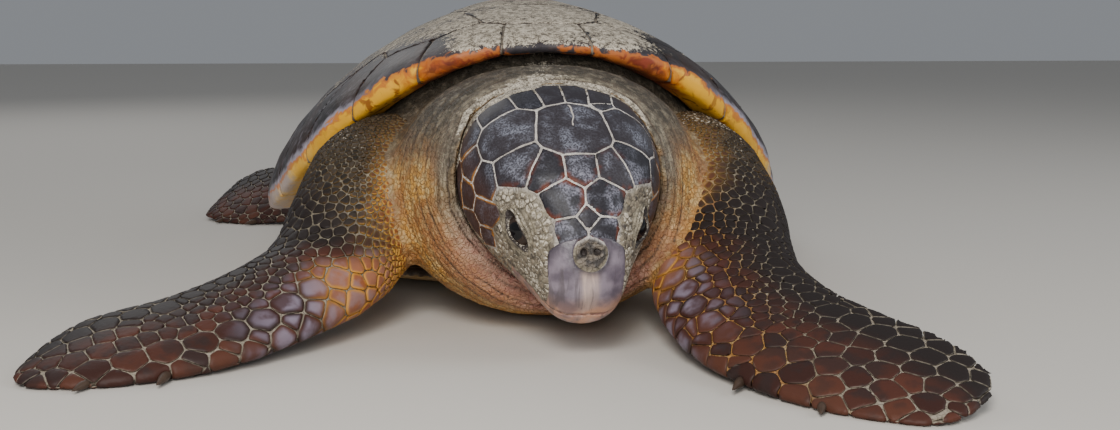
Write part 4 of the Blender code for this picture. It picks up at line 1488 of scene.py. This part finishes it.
beak = sheathed("beak_sheath", on_beak, lip=0.0022, rolled=0.0016)
jaw_horn = sheathed("jaw_sheath", on_jaw, lip=0.0022, rolled=0.0016)
horn_finish, tree, shader = new_finish("beak_horn", 0.38, 0.15)
streaks = spots(tree, 120.0, 5.0, (1.0, 0.30, 0.22), 0.5)
cloud = spots(tree, 48.0, 4.0)
horn_colour = layered(
    blended(ranged(cloud, 0.36, 0.64), (0.235, 0.195, 0.235), (0.1, 0.08, 0.105)),
    (stored(tree, "centre") * ranged(streaks, 0.36, 0.6, 1.0, 0.45), (0.62, 0.46, 0.38)),
    (stored(tree, "tip") * ranged(cloud, 0.4, 0.6, 0.85, 0.3), (0.46, 0.22, 0.12)),
    (ranged(streaks, 0.56, 0.66, 0.0, 0.6), (0.07, 0.055, 0.06)),
    # Painted shade under the nostril pad and along the beak's upper edge.
    (stored(tree, "upper") * 0.85, (0.02, 0.016, 0.022)),
)
horn_colour, _, _ = sanded(horn_colour, -0.25)
put(shader.inputs["Base Color"], horn_colour)
bumped(shader, streaks + spots(tree, 300.0, 2.0), 0.0007, 0.6)
for piece in (beak, jaw_horn):
    places = coordinates(piece.data)
    left, along, up, _ = in_head(places)
    from_pad = away_from(places, nose)
    # Painted shade: a dark band under the nostril pad and along the beak's upper edge, where it meets the
    # snout plates.
    shade_below_pad = (1 - bump(from_pad, 0.0175, 0.0245)) * (0.6 + 0.4 * bump(-up, -0.03, -0.015))
    upper_shade = np.maximum(shade_below_pad, 0.8 - 0.8 * bump(along, 0.2225, 0.234))
    give_values(
        piece.data, centre=1 - bump(np.abs(left), 0.002, 0.013), tip=bump(-up, 0.010, 0.03),
        upper=upper_shade * (piece is beak),
    )
    piece.data.materials.append(horn_finish)
    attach(piece, "root")
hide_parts("upper_beak")

eye_finish, tree, shader = new_finish("wet_eye", 0.12, 0.0, 0.35)
in_pupil = ranged(stored(tree, "gaze"), 0.86, 0.9)
put(shader.inputs["Base Color"], blended(in_pupil, (0.03, 0.018, 0.012), (0.004, 0.004, 0.005)))
for side, middle in eye_middles.items():
    bm = bmesh.new()
    bmesh.ops.create_icosphere(bm, subdivisions=4, radius=eye_radius - 0.0002)
    bmesh.ops.translate(bm, verts=bm.verts, vec=middle)
    eyeball = linked("eyeball_" + side, bm)
    give_values(eyeball.data, gaze=normals_of(eyeball.data) @ np.array(gaze(side)))
    eyeball.data.materials.append(eye_finish)
    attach(eyeball, "root")
    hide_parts("eye_" + side)

claw_finish, tree, shader = new_finish("claw_horn", 0.5, 0.0, 0.25)
claw_colour = blended(spots(tree, 200.0, 3.0), (0.03, 0.019, 0.014), (0.085, 0.055, 0.038))
put(shader.inputs["Base Color"], claw_colour)
# A claw's radius, as shares of its node's, at shares of its length from root to tip.
CLAW_RINGS, CLAW_SIDES, CLAW_DROOP = 13, 14, 0.35
CLAW_SHARES = (0.0, 0.2, 0.4, 0.6, 0.8, 0.93, 1.0)
CLAW_RADII = (0.80, 0.97, 0.95, 0.72, 0.42, 0.22, 0.08)
for name in [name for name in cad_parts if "claw" in name]:
    shape = np.unique(coordinates(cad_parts[name].data).round(6), axis=0)
    off_middle = shape - shape.mean(axis=0)
    reach = off_middle @ np.linalg.svd(off_middle, full_matrices=False)[2][0]
    reach *= np.sign(reach.max() + reach.min())
    start, end = shape[reach < reach.min() + 0.002].mean(axis=0), shape[reach.argmax()]
    long = Vector(end - start)
    across = long.cross(Vector((0, 0, 1))).normalized()
    up = across.cross(long).normalized()
    thick = (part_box(name)[1].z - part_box(name)[0].z) / 2
    rings = []
    for share in np.linspace(0, 1, CLAW_RINGS):
        radius = thick * np.interp(share, CLAW_SHARES, CLAW_RADII)
        centre = Vector(start) + long * share - up * (CLAW_DROOP * thick * share ** 2)
        turns = [2 * math.pi * step / CLAW_SIDES for step in range(CLAW_SIDES)]
        rings.append([centre + (across * math.cos(turn) + up * math.sin(turn)) * radius for turn in turns])
    nail = tube(name.replace("claw", "nail"), rings)
    nail.data.materials.append(claw_finish)
    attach(nail, "root")
    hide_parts(name)
